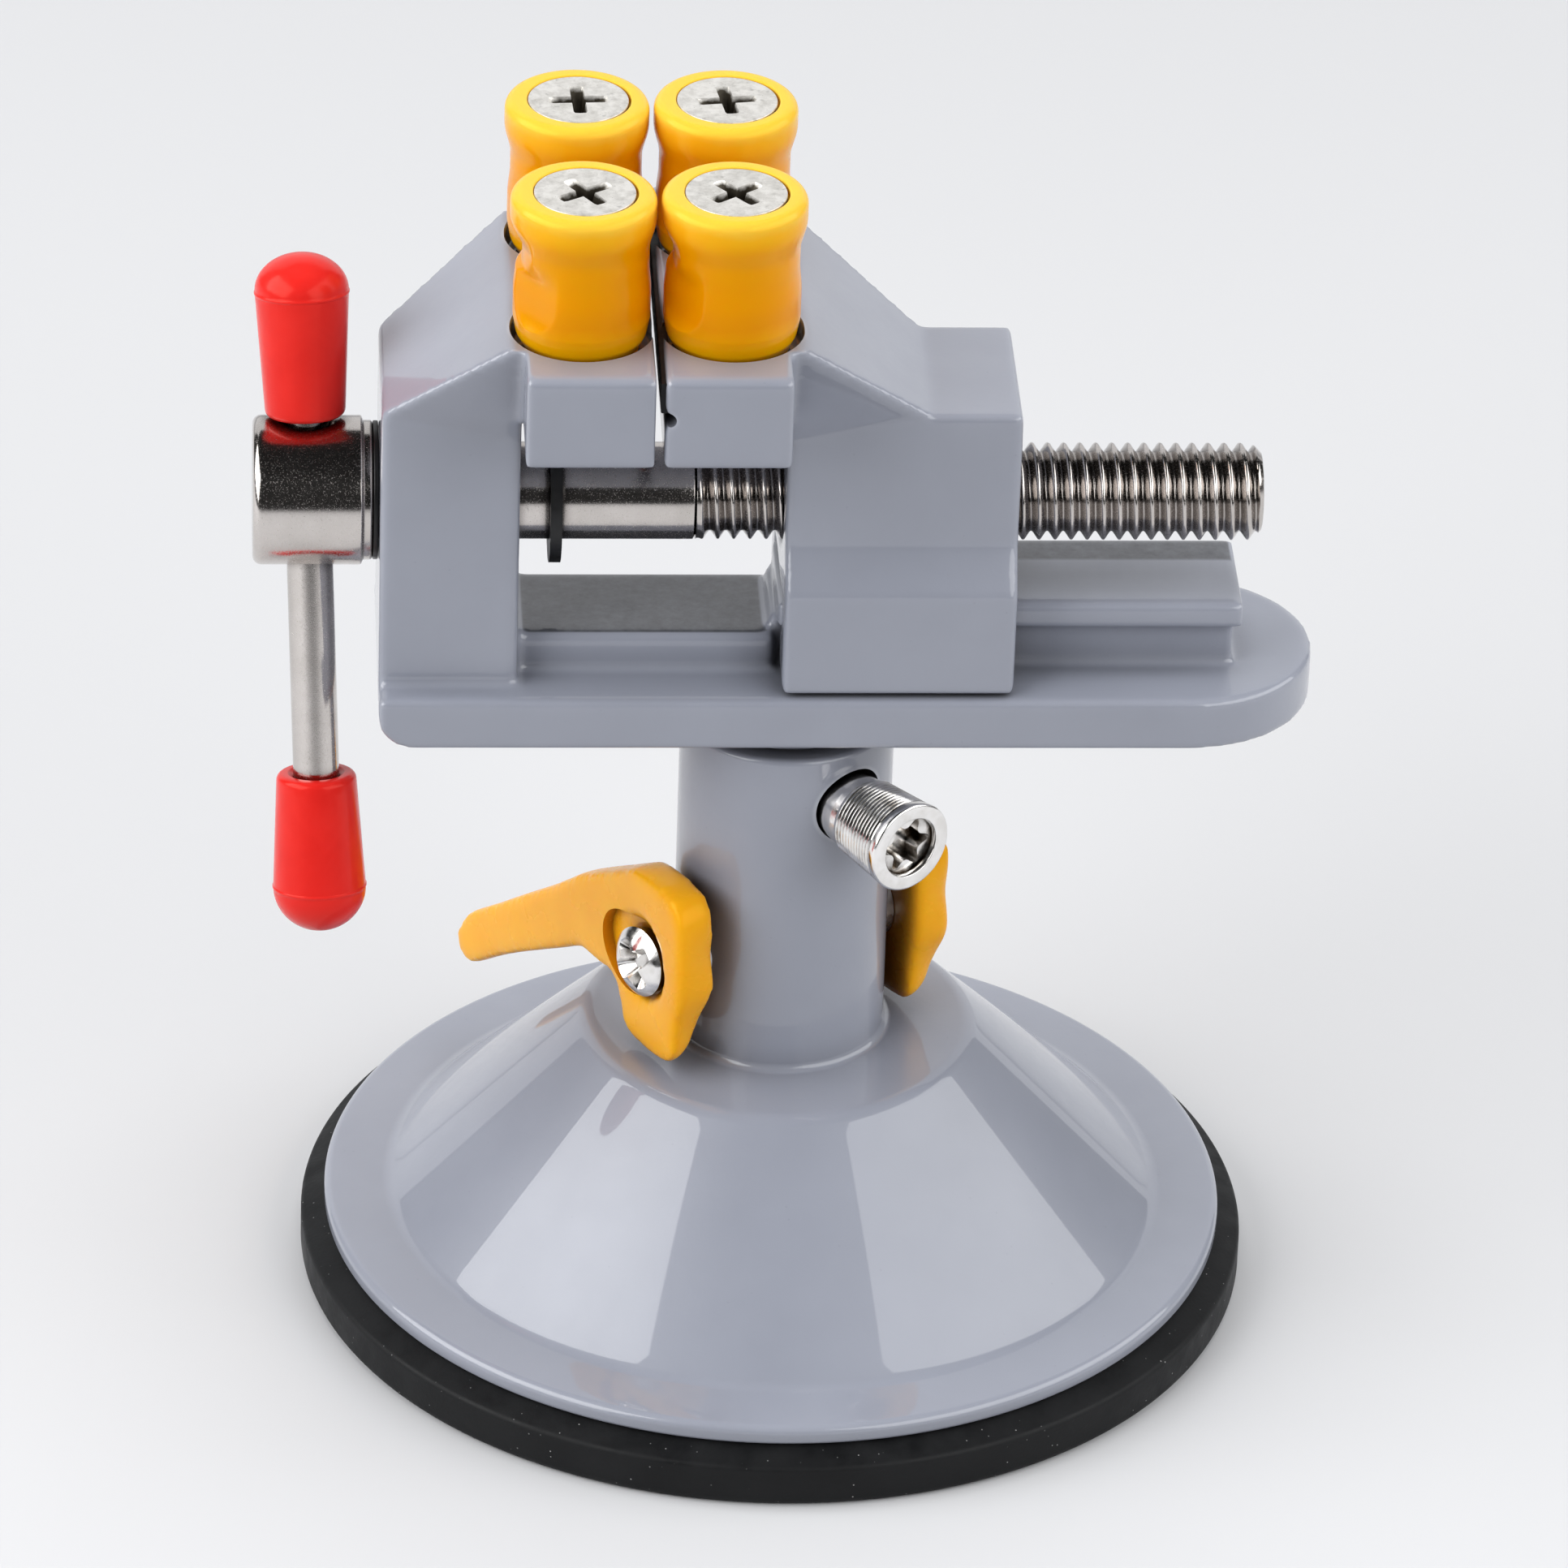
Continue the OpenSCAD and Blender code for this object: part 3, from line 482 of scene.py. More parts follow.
def grey_paint():
    """Semi-gloss grey paint with a painted highlight on thin edges, a darker top on the rail that is partly
    its rough cast finish and partly painted shade, and painted shade in crevices.
    """
    s = Shade("grey_paint", (0.29, 0.308, 0.366), 0.4, Coat_Weight=0.9, Coat_Roughness=0.035)
    tone = s.ramp(s.noise(14, 3), (0.3, (0.276, 0.293, 0.35)), (0.7, (0.298, 0.316, 0.376)))
    specks = s.ramp(s.cells(2.6), (0.03, 1.0), (0.05, 0.0))
    tone = s.mix(s.scaled(specks, 0.25), tone, (0.2, 0.21, 0.24))
    # Painted highlight along thin convex edges
    edge = s.ramp(s.crevice(0.5, True), (0.55, 1.0), (0.9, 0.0))
    tone = s.mix(s.scaled(edge, 0.5), tone, (0.55, 0.57, 0.64))
    # Darker on the level tops of the rail: partly their rough cast finish, partly painted shade under the
    # lead screw
    rail_top_tone = s.ramp(s.noise(1.2, 5, 0.65), (0.3, (0.04, 0.043, 0.053)), (0.7, (0.1, 0.107, 0.125)))
    tone = s.mix(dark_rail_tops(s), tone, rail_top_tone)
    # Painted shade in crevices and under overhangs
    open_share = s.math("MINIMUM", s.crevice(1.6), s.crevice(6.0))
    s.color(s.mix(s.ramp(open_share, (0.12, 1.0), (0.74, 0.0)), tone, (0.09, 0.092, 0.105)))
    s.rough(s.ramp(s.noise(5, 4, 0.6), (0.3, 0.36), (0.7, 0.46)))
    s.bump(s.noise(1.1, 2, 0.5), 0.015)
    s.bump(s.noise(0.45, 2, 0.6), 0.006)
    return s.material


def black_rubber():
    """Matt moulded rubber with fine grain and specks of dust here and there."""
    s = Shade("black_rubber", (0.007, 0.0075, 0.008), 0.5, Specular_IOR_Level=0.2)
    tone = s.ramp(s.noise(6, 4, 0.6), (0.3, (0.0045, 0.0048, 0.0054)), (0.75, (0.011, 0.0115, 0.0125)))
    dust = s.ramp(s.cells(1.1), (0.05, 1.0), (0.09, 0.0))
    dust = s.math("MULTIPLY", dust, s.ramp(s.noise(7, 3), (0.46, 0.0), (0.6, 1.0)))
    s.color(s.mix(s.scaled(dust, 0.7), tone, (0.5, 0.5, 0.5)))
    s.rough(s.ramp(s.noise(3, 3), (0.3, 0.42), (0.7, 0.62)))
    s.bump(s.noise(0.5, 3, 0.6), 0.02)
    s.bump(dust, 0.03)
    return s.material


def red_vinyl():
    """Glossy red vinyl with slight flow marks."""
    dark, light = (0.71, 0.019, 0.015), (0.79, 0.027, 0.021)
    s = Shade("red_vinyl", light, 0.2, Subsurface_Weight=0.2, Subsurface_Scale=0.002,
              Specular_Tint=(1.0, 0.25, 0.2, 1))
    s.color(s.ramp(s.noise(7, 3, 0.6, 0.8), (0.25, dark), (0.75, light)))
    s.rough(s.ramp(s.noise(4, 3), (0.3, 0.15), (0.7, 0.27)))
    s.bump(s.noise(2.5, 2), 0.012)
    s.bump(s.noise(0.3, 2), 0.0015)
    return s.material


def steel():
    """Bare steel, seen through gaps only."""
    s = Shade("steel", (0.6, 0.6, 0.62), 0.3, Metallic=1.0)
    s.color(s.ramp(s.noise(5, 4, 0.6), (0.3, (0.516, 0.516, 0.5332)), (0.7, (0.6, 0.6, 0.62))))
    s.rough(s.ramp(s.noise(2.5, 4, 0.6), (0.3, 0.225), (0.7, 0.42)))
    s.bump(s.noise(0.4, 3, 0.6), 0.006)
    return s.material


def black_steel():
    """Blackened spring steel, slightly uneven."""
    s = Shade("black_steel", (0.012, 0.012, 0.013), 0.35, Metallic=0.4)
    s.rough(s.ramp(s.noise(1.5, 3), (0.3, 0.28), (0.7, 0.5)))
    s.bump(s.noise(0.4, 3), 0.008)
    return s.material


def shaded_chrome():
    """Bright plate with painted shade, brown and clouded, in its recesses and round its foot."""
    s = Shade("shaded_chrome", (0.85, 0.83, 0.81), 0.2, Metallic=1.0)
    tone = s.ramp(s.noise(1.8, 4, 0.6), (0.35, (0.78, 0.76, 0.73)), (0.6, (0.9, 0.885, 0.87)))
    # Painted shade in brown, clouded by noise, in the recesses and round the foot
    unshaded = s.clouded(s.crevice(1.6), s.noise(2.2, 3), 1.1)
    s.color(s.mix(s.ramp(unshaded, (0.45, 1.0), (0.78, 0.0)), tone, (0.07, 0.05, 0.03)))
    s.rough(s.ramp(s.noise(0.7, 3), (0.3, 0.12), (0.7, 0.26)))
    s.bump(s.noise(1.8, 2), 0.04)
    s.bump(s.noise(0.3, 2), 0.003)
    return s.material


def nickel_plate():
    """Nickel plate with a brown cast, finely speckled, here and there scratched, with painted shade in
    crevices.
    """
    s = Shade("nickel", (0.62, 0.585, 0.56), 0.2, Metallic=1.0)
    tone = s.ramp(s.noise(5, 4, 0.6), (0.3, (0.54, 0.505, 0.475)), (0.7, (0.64, 0.6, 0.575)))
    specks = s.ramp(s.cells(0.6), (0.03, 1.0), (0.07, 0.0))
    tone = s.mix(s.scaled(specks, 0.5), tone, (0.12, 0.1, 0.085))
    scratch = s.ramp(s.noise(1.6, 5, 0.7, 1.5), (0.69, 0.0), (0.72, 1.0))
    tone = s.mix(s.scaled(scratch, 0.6), tone, (0.95, 0.93, 0.9))
    # Painted shade in crevices and thread grooves
    s.color(s.mix(s.ramp(s.crevice(1.3), (0.4, 0.9), (0.9, 0.0)), tone, (0.13, 0.11, 0.1)))
    grain = s.ramp(s.noise(0.16, 2, 0.7), (0.5, 0.13), (0.78, 0.42))
    s.rough(s.math("MAXIMUM", grain, s.scaled(scratch, 0.5)))
    s.bump(s.noise(0.12, 2, 0.7), 0.003)
    s.bump(scratch, 0.01)
    return s.material


def zinc_plate():
    """Dull zinc plate, speckled, with painted shade darkening its recesses."""
    s = Shade("zinc", (0.8, 0.78, 0.72), 0.42, Metallic=0.6)
    tone = s.ramp(s.noise(1.2, 5, 0.65), (0.3, (0.6, 0.58, 0.54)), (0.62, (0.86, 0.84, 0.8)))
    specks = s.ramp(s.cells(0.7), (0.05, 1.0), (0.12, 0.0))
    tone = s.mix(s.scaled(specks, 0.5), tone, (0.3, 0.27, 0.22))
    # Painted shade in the cross recess, from about half a millimetre below the top, clouded by noise
    depth = s.clouded(s.below(POST_TOP), s.noise(0.9, 3), 0.9)
    s.color(s.mix(s.ramp(depth, (0.1, 0.0), (0.5, 1.0)), tone, (0.06, 0.05, 0.035)))
    s.rough(s.ramp(s.noise(0.8, 4, 0.6), (0.3, 0.32), (0.7, 0.52)))
    s.bump(s.noise(0.5, 4, 0.65), 0.03)
    return s.material


def yellow_plastic():
    """Glossy yellow plastic with painted light: lightest on the rims of the posts, deeper below, a little
    lighter again at the foot.
    """
    s = Shade("yellow_plastic", (0.95, 0.4, 0.0), 0.2, Subsurface_Weight=0.25, Subsurface_Scale=0.003,
              Specular_IOR_Level=0.5, Specular_Tint=(1.0, 0.62, 0.08, 1))
    # Painted light by depth below the posts' top: lightest at the rim, deepest low on the body, a little
    # lighter again at the foot
    depth = s.clouded(s.below(POST_TOP), s.noise(6, 3, 0.6, 0.6), 1.6)
    post_l = 16.0
    s.color(s.ramp(
        s.math("DIVIDE", depth, post_l), (0.04, (0.9, 0.55, 0.05)), (0.11, (0.88, 0.44, 0.01)),
        (0.24, (0.82, 0.335, 0.0)), (0.75, (0.77, 0.28, 0.0)), (0.95, (0.86, 0.4, 0.001))))
    s.rough(s.ramp(s.noise(4, 3), (0.3, 0.16), (0.7, 0.26)))
    s.bump(s.noise(3.0, 2), 0.02)
    s.bump(s.noise(0.3, 2), 0.0015)
    return s.material


def orange_plastic():
    """Smooth orange plastic with painted shade in brown in its recesses."""
    s = Shade("orange_plastic", (0.9, 0.42, 0.015), 0.26, Subsurface_Weight=0.25, Subsurface_Scale=0.003,
              Specular_Tint=(1.0, 0.6, 0.12, 1))
    tone = s.ramp(s.noise(9, 3, 0.6, 0.6), (0.25, (0.88, 0.385, 0.008)), (0.75, (0.93, 0.44, 0.012)))
    # Painted shade in brown in the recesses
    s.color(s.mix(s.ramp(s.crevice(3.5), (0.3, 1.0), (0.8, 0.0)), tone, (0.25, 0.08, 0.004)))
    s.rough(s.ramp(s.noise(5, 3), (0.3, 0.22), (0.7, 0.32)))
    s.bump(s.noise(4, 2), 0.02)
    s.bump(s.noise(0.35, 2), 0.001)
    return s.material


PAINT = grey_paint()
RUBBER = black_rubber()
YELLOW = yellow_plastic()
ORANGE = orange_plastic()
RED = red_vinyl()
CHROME = shaded_chrome()
NICKEL = nickel_plate()
ZINC = zinc_plate()
STEEL = steel()
BLACK_STEEL = black_steel()


# Castings
CAST_VOXEL = 0.4
CAST_ROUNDS = 11
JAW_TOP = 116.0
JAW_FACE = -14.7

# Pockets in the jaws' lips, where the posts stand
POCKET_R = 7.12
POCKET_Z = 113.8
POCKET_ROUND = 0.5
POCKET_RIM = 0.4
CLEAR = 2.0

# Blind ends of the groove across the moving jaw's face
GROOVE_R = 0.78
GROOVE_IN = 0.4
GROOVE_Z = 111.4
GROOVE_END = 23.0
GROOVE_L = 9.0

# Black strip on the same face, standing in as painted shade for the dark gap between the jaws
GAP_SHADE_OUT = 0.42
GAP_SHADE_IN = 0.6
GAP_SHADE_LOW = 112.0
GAP_SHADE_HIGH = 115.3
GAP_SHADE_HALF = 20.7
GAP_SHADE_ROUND = 0.15


def post_fill(place):
    """Plug that keeps the casting's rounding out of a post's pocket."""
    fill = cylinder(POCKET_R, POCKET_Z - 1, JAW_TOP, 96)
    fill.transform(place)
    return fill


def post_pocket(place):
    """Pocket for a post's foot, a little wider at its mouth."""
    mouth, top = POCKET_R + POCKET_RIM, JAW_TOP + CLEAR
    rows = [
        (0, POCKET_Z, 0), (POCKET_R, POCKET_Z, POCKET_ROUND), (POCKET_R, JAW_TOP - 0.3, POCKET_ROUND),
        (mouth, JAW_TOP + 0.2, 0), (mouth, top, 0), (0, top, 0)]
    pocket = lathe(rounded(rows, 4))
    pocket.transform(place)
    return pocket


def groove_end(start):
    """Tool for one end of the groove in the moving jaw's face."""
    tool = cylinder(GROOVE_R, start, start + GROOVE_L, 32)
    tool.transform(Matrix.Translation((JAW_FACE + GROOVE_IN, 0, GROOVE_Z)) @ TO_FRONT)
    return tool


def make_castings():
    """Head with the fixed jaw, and moving jaw, as castings with soft edges and crisp pockets."""
    for name, node, body, posts in (
            ("head_casting", "vise_base", "head", POST_NODES[:2]),
            ("jaw_casting", "moving_jaw", "jaw", POST_NODES[2:])):
        places = [Matrix.Translation((middle(post[0]).x, middle(post[0]).y, 0)) for post in posts]
        piece = soft_copy(name, node, CAST_VOXEL, CAST_ROUNDS, [post_fill(place) for place in places])
        tools = [post_pocket(place) for place in places]
        if body == "jaw":
            tools += [groove_end(start) for start in (-GROOVE_END, GROOVE_END - GROOVE_L)]
        carve(piece, *tools)
        resharpen(piece, SHARP_CAST)
        dress(piece, PAINT, body, "grey_paint", node)


def make_gap_shade():
    """Thin black strip on the upper part of the moving jaw's face: painted shade that darkens the gap
    between the jaws.
    """
    front, back = JAW_FACE - GAP_SHADE_OUT, JAW_FACE + GAP_SHADE_IN
    outline = rounded([
        (front, GAP_SHADE_LOW, GAP_SHADE_ROUND), (back, GAP_SHADE_LOW, 0),
        (back, GAP_SHADE_HIGH, 0), (front, GAP_SHADE_HIGH, GAP_SHADE_ROUND)], 3)
    bm = prism(outline, 2 * GAP_SHADE_HALF, -GAP_SHADE_HALF)
    dress(place_piece("jaw_gap_shade", bm, TO_FRONT), RUBBER, "jaw", "rubber")


# Base casting and rubber pad
FLANGE_R = BASE_HIGH.x
FLANGE_TOP = 8.0
CONE_FOOT_R = 40.6
CONE_FOOT_Z = 8.25
SHOULDER_R = 20.3
SHOULDER_Z = 28.5
COLUMN_R = 11.15
BORE_R = 7.45
CAVITY_TOP_R = 18.9
CAVITY_FOOT_R = 35
WALL_LOW = 25.5
PAD_RIM = 4.6
PAD_STEP = 0.8
PAD_RING_IN = 36.0
PAD_FLOOR = 1.8
BOSS_GAP = 0.3

# Clamping screw, how far it stands out of the column and how low it hangs in its hole
SET_DIRECTION = math.radians(35)
SET_Z = middle("set_screw").z
SET_R = 4.35
SET_HOLE_R = 4.12
SET_PITCH = 0.5
SET_CUT = 0.2
SET_TIP = 6.1
SET_TIP_R = 2.7
SET_NECK_R = 3.95
SET_NECK_L = 2.4
SET_FACE_R = 4.95
SET_BEVEL = 0.15
SET_COLLAR = 1.3
SET_OUT = 9.8
SET_DROP = 0.3

# Socket of the clamping screw, and its lower side, where the thread is left off
SOCKET_R = 3.2
SOCKET_LOBES = 6
SOCKET_CORE_R = 1.9
SOCKET_LOBE_R = 2.95
SOCKET_HIGH = 0.9
SOCKET_LOW = 3.3
SMOOTH_SIDE = math.radians(-60)
SMOOTH_HALF = 1.75
SMOOTH_FADE = 0.35


def set_place():
    """Place on the clamping screw's axis, with its own Z pointing outwards."""
    return Matrix.Translation((0, 0, SET_Z)) @ Matrix.Rotation(SET_DIRECTION, 4, "Z") @ TO_FRONT


def make_base():
    """Flange, cone, shoulder and column, hollow below, with the clamping screw's hole."""
    rows = [
        (BORE_R, WALL_LOW, 0), (CAVITY_TOP_R, WALL_LOW, 2), (CAVITY_FOOT_R, PAD_HIGH.z, 0),
        (FLANGE_R, PAD_HIGH.z, 0.4), (FLANGE_R, FLANGE_TOP, 0.9), (CONE_FOOT_R, CONE_FOOT_Z, 2.2),
        (SHOULDER_R, SHOULDER_Z, 2.6), (COLUMN_R, SHOULDER_Z, 0.9),
        (COLUMN_R, BASE_HIGH.z, 0.7), (BORE_R, BASE_HIGH.z, 0.4)]
    piece = place_piece("base_casting_body", lathe(spread(rounded(rows, 12), 1.2), 256))
    hole = cylinder(SET_HOLE_R, 0, COLUMN_R + 1, 64)
    hole.transform(set_place())
    carve(piece, hole)
    resharpen(piece)
    dress(piece, PAINT, "base", "grey_paint", "base_casting")


def make_pad():
    """Rubber ring with its floor, open in the middle for the boss."""
    hole_r = corners("pad_boss")[1].x + BOSS_GAP
    rows = [
        (hole_r, 0, 0.3), (PAD_HIGH.x, 0, 1.0), (PAD_HIGH.x, PAD_RIM, 0.7),
        (FLANGE_R - PAD_STEP, PAD_HIGH.z, 0.4), (PAD_RING_IN, PAD_HIGH.z, 0.5),
        (PAD_RING_IN, PAD_FLOOR, 0.8), (hole_r, PAD_FLOOR, 0.4)]
    piece = place_piece("pad_ring", lathe(spread(rounded(rows, 6), 2.0), 256))
    dress(piece, RUBBER, "base", "rubber", "rubber_pad")


def smooth_out(piece, rest, start, end):
    """Widens the thread towards the face, and leaves it off on the lower side."""
    into = rest.inverted()
    for vertex in piece.data.vertices:
        p = into @ (vertex.co / MM)
        if start < p.z < end:
            away = angle_between(math.atan2(p.y, p.x), SMOOTH_SIDE)
            share = smooth_step((SMOOTH_HALF - away) / SMOOTH_FADE)
            radius = math.hypot(p.x, p.y)
            crest = SET_R + (SET_FACE_R - SET_BEVEL - SET_R) * (p.z - start) / (end - start)
            grown = crest / SET_R * radius
            scale = (grown + (crest - grown) * share) / radius
            vertex.co = (rest @ Vector((p.x * scale, p.y * scale, p.z))) * MM


def set_screw_rows(start, end, face):
    """Outline of the clamping screw, with its thread from start to end."""
    root = SET_R - SET_CUT
    rows = [
        (0, SET_TIP, 0), (SET_TIP_R, SET_TIP, 0.3), (SET_TIP_R, SET_TIP + 1.8, 0),
        (SET_NECK_R - 0.3, SET_TIP + 3, 0.3), (SET_NECK_R, start - 1.2, 0.3),
        (SET_NECK_R, start - 0.4, 0.2), (root, start, 0)]
    for k in range(int((end - start) / SET_PITCH)):
        turn = start + k * SET_PITCH
        rows += [(root, turn + 0.08, 0), (SET_R - 0.02, turn + 0.26, 0.04), (root, turn + 0.44, 0)]
    return rows + [
        (SET_R - 0.1, end, 0), (SET_FACE_R - SET_BEVEL, end + 0.25, 0.1), (SET_FACE_R, face, 0.3),
        (SOCKET_R + 0.12, face, 0.1), (SOCKET_R, face - 0.5, 0),
        (SOCKET_R - 0.1, face - 3.4, 0), (0, face - 4.0, 0)]


def socket_tool(face, rest):
    """Hole of the clamping screw's socket: a core circle that swells into round lobes."""
    steps = 16 * SOCKET_LOBES
    outline = []
    for k in range(steps):
        angle = TAU * k / steps
        wave = (1 + math.cos(SOCKET_LOBES * angle)) / 2
        outline.append(polar(SOCKET_CORE_R + (SOCKET_LOBE_R - SOCKET_CORE_R) * wave ** 1.6, angle))
    tool = prism(outline, 6.0, face - 2.9)
    tool.transform(rest)
    return tool


def make_set_screw():
    """Clamping screw, and the lobes that fill its socket."""
    rest = Matrix.Translation((0, 0, -SET_DROP)) @ set_place()
    face = COLUMN_R + SET_OUT
    start, end = COLUMN_R + SET_NECK_L, face - SET_COLLAR
    rows = set_screw_rows(start, end, face)
    piece = place_piece("clamping_screw", lathe(rounded(rows, 3)), rest)
    smooth_out(piece, rest, start + 0.05, end + 0.05)
    dress(piece, CHROME, "clamp_screw", "chrome", "set_screw")
    radius, low, high = SOCKET_R + 0.3, face - SOCKET_LOW, face - SOCKET_HIGH
    star = lathe(plain((radius, low), (radius, high), (0, high), (0, low)), 96)
    lobes = place_piece("socket_lobes", star, rest)
    carve(lobes, socket_tool(face, rest))
    resharpen(lobes, SHARP_SCREW)
    dress(lobes, CHROME, "clamp_screw", "chrome", "set_screw")


# Lead screw
HEAD_R = 7.65
HEAD_L = 12.2
RIM_L = 0.9
RIM_R = 7.15
THREAD_R = 5.0
THREAD_PITCH = 1.65
THREAD_DEPTH = 0.92
THREAD_LEFT = -10.3
THREAD_CREST = 0.12
THREAD_ROOT = 0.1
THREAD_RUN_IN = 0.6
THREAD_WELD = 1e-4
CLIP_GROOVE_R = 4.2
HANDLE_X = SCREW_LOW.x + (HEAD_L - RIM_L) / 2
BAR_LEAN = math.radians(1.9)
BAR_TILT = math.radians(13)
BAR_R = 2.375
BAR_HOLE_R = 2.68
BAR_HOLE_MOUTH_R = 4.28
BAR_HOLE_STRAIGHT = 6.9
BAR_HOLE_HALF = 9


def bar_place(distance=0.0):
    """Place on the handle bar's axis, with its own Z along it."""
    lean = Matrix.Rotation(-BAR_TILT, 4, "X") @ Matrix.Rotation(-BAR_LEAN, 4, "Y")
    return Matrix.Translation((HANDLE_X, 0, SCREW_Z)) @ lean @ Matrix.Translation((0, 0, distance))


def thread_radius(share):
    """Radius of the thread at a share of its pitch, with a flat crest and a flat root."""
    away = abs(share - 0.5) * 2
    slope = (away - THREAD_CREST) / (1 - THREAD_CREST - THREAD_ROOT)
    return THREAD_R - THREAD_DEPTH * max(0.0, min(1.0, slope))


def threaded_rod(left, right, segments=96, per_pitch=12):
    """Rod along Z whose rings follow a right-hand helix, plain at its left and chamfered at its right."""
    bm = bmesh.new()
    step = THREAD_PITCH / per_pitch
    rings = []
    for k in range(-per_pitch, int((right - left) / step) + per_pitch):
        ring = []
        grooved = thread_radius((k / per_pitch) % 1.0)
        for j in range(segments):
            angle = TAU * j / segments
            place = max(left, min(right, left + step * k + THREAD_PITCH * j / segments))
            fade = max(0.0, min(1.0, (place - left) / (THREAD_PITCH * THREAD_RUN_IN)))
            radius = THREAD_R + (grooved - THREAD_R) * fade
            chamfer = right - place
            if chamfer < THREAD_DEPTH:
                radius = min(radius, THREAD_R - (THREAD_DEPTH - chamfer) * 1.05)
            ring.append(bm.verts.new((radius * math.cos(angle), radius * math.sin(angle), place)))
        rings.append(ring)
    for i, (low, high) in enumerate(zip(rings, rings[1:])):
        for j in range(segments - 1):
            bm.faces.new((low[j], low[j + 1], high[j + 1], high[j]))
        if i + 1 + per_pitch < len(rings):
            bm.faces.new((low[-1], rings[i + per_pitch][0], rings[i + 1 + per_pitch][0], high[-1]))
    bmesh.ops.remove_doubles(bm, verts=bm.verts, dist=THREAD_WELD)
    bmesh.ops.dissolve_degenerate(bm, edges=bm.edges, dist=THREAD_WELD)
    loose = [e for e in bm.edges if len(e.link_faces) < 2]
    bmesh.ops.holes_fill(bm, edges=loose, sides=0)
    return bm


def make_screw_head():
    """Head of the lead screw, with its rim and the cross hole for the bar."""
    rows = [
        (0, 0, 0), (HEAD_R, 0, 0.9), (HEAD_R, HEAD_L - RIM_L - 0.25, 0.2), (RIM_R, HEAD_L - RIM_L, 0.1),
        (RIM_R, HEAD_L, 0.3), (0, HEAD_L, 0)]
    head = place_piece("screw_head", lathe(spread(rounded(rows, 6), 1.0), 160), on_screw(SCREW_LOW.x))
    bore = lathe(plain(
        (0, -BAR_HOLE_HALF), (BAR_HOLE_MOUTH_R, -BAR_HOLE_HALF), (BAR_HOLE_R, -BAR_HOLE_STRAIGHT),
        (BAR_HOLE_R, BAR_HOLE_STRAIGHT), (BAR_HOLE_MOUTH_R, BAR_HOLE_HALF), (0, BAR_HOLE_HALF)), 64)
    bore.transform(Matrix.Translation((HANDLE_X, 0, SCREW_Z)) @ Matrix.Rotation(-BAR_TILT, 4, "X"))
    carve(head, bore)
    resharpen(head)
    dress(head, NICKEL, "screw", "nickel", "lead_screw")


def make_lead_screw():
    """Lead screw: head, smooth shank with the clip's groove, and thread."""
    make_screw_head()
    start = SCREW_LOW.x + HEAD_L
    low, high, end = CLIP_LOW.x - start, CLIP_HIGH.x - start, THREAD_LEFT - start
    rows = [
        (0, 0, 0), (THREAD_R, 0, 0), (THREAD_R, low, 0.05), (CLIP_GROOVE_R, low, 0),
        (CLIP_GROOVE_R, high, 0), (THREAD_R, high, 0.05),
        (THREAD_R, end - 0.25, 0.1), (THREAD_R - 0.5, end, 0), (0, end, 0)]
    shank = place_piece("screw_shank", lathe(spread(rounded(rows, 4), 2.0)), on_screw(start))
    thread = place_piece("screw_thread", threaded_rod(THREAD_LEFT, SCREW_HIGH.x), on_screw(), SHARP_THREAD)
    for piece in (shank, thread):
        dress(piece, NICKEL, "screw", "nickel", "lead_screw")


# Open clip and washer on the lead screw
CLIP_R = 7.4
CLIP_BORE_R = 4.25
CLIP_MOUTH = 3.2
CLIP_RELIEF = 0.9
CLIP_ROUND = 0.12
WASHER_R = 7.1
WASHER_BORE_R = 5.05


def open_arc(radius, mouth, steps=60):
    """Angles along a circle that is open at its right, mouth being half the opening."""
    start = math.asin(mouth / radius)
    return [start + (TAU - 2 * start) * k / steps for k in range(steps + 1)]


def make_clip():
    """Open clip that touches its groove in three places."""
    outline = [polar(CLIP_R, angle) for angle in open_arc(CLIP_R, CLIP_MOUTH)]
    for angle in reversed(open_arc(CLIP_BORE_R, CLIP_MOUTH * 0.8)):
        relief = CLIP_RELIEF if math.cos(3 * (angle - math.pi)) < 0.1 else 0.0
        outline.append(polar(CLIP_BORE_R + relief, angle))
    bm = prism(outline, CLIP_HIGH.x - CLIP_LOW.x, CLIP_LOW.x)
    bm.transform(Matrix.Rotation(math.pi, 4, "Z"))
    edges = [e for e in bm.edges if abs(e.verts[0].co.z - e.verts[1].co.z) < 1e-6]
    bmesh.ops.bevel(bm, geom=edges, offset=CLIP_ROUND, segments=2, affect="EDGES", profile=0.6)
    clip = place_piece("open_clip", bm, on_screw())
    dress(clip, BLACK_STEEL, "screw", "black_steel", "retaining_clip")


def make_washer():
    """Thin washer between the screw's head and the jaw wall."""
    rows = [
        (WASHER_BORE_R, WASHER_LOW.x, 0.1), (WASHER_R, WASHER_LOW.x, 0.15),
        (WASHER_R, WASHER_HIGH.x, 0.15), (WASHER_BORE_R, WASHER_HIGH.x, 0.1)]
    washer = place_piece("black_washer", lathe(rounded(rows, 3)), on_screw())
    dress(washer, BLACK_STEEL, "screw", "black_steel", "thrust_washer")


# Handle: the bar's free length between the grips, and where the upper grip starts
BAR_FREE = 38.2
GRIP_REST = 7.933
GRIP_LOW = GRIP_REST - BAR_FREE
GRIP_L = 17.0
GRIP_R = 4.88
GRIP_NECK_R = 4.1
GRIP_SKIN = 0.08
UPPER_DOME = 3.95
LOWER_DOME = 4.8
DOME_STEPS = 24
BORE_DEEP = 13.0


def make_bar():
    """Handle bar, which ends a millimetre short of the grips' bores."""
    low, high = GRIP_LOW - BORE_DEEP + 1, GRIP_REST + BORE_DEEP - 1
    rows = [(0, low, 0), (BAR_R, low, 0.3), (BAR_R, high, 0.3), (0, high, 0)]
    bar = place_piece("bar_rod", lathe(spread(rounded(rows, 4), 3.0), 96), bar_place())
    dress(bar, NICKEL, "handle", "nickel", "handle_bar")


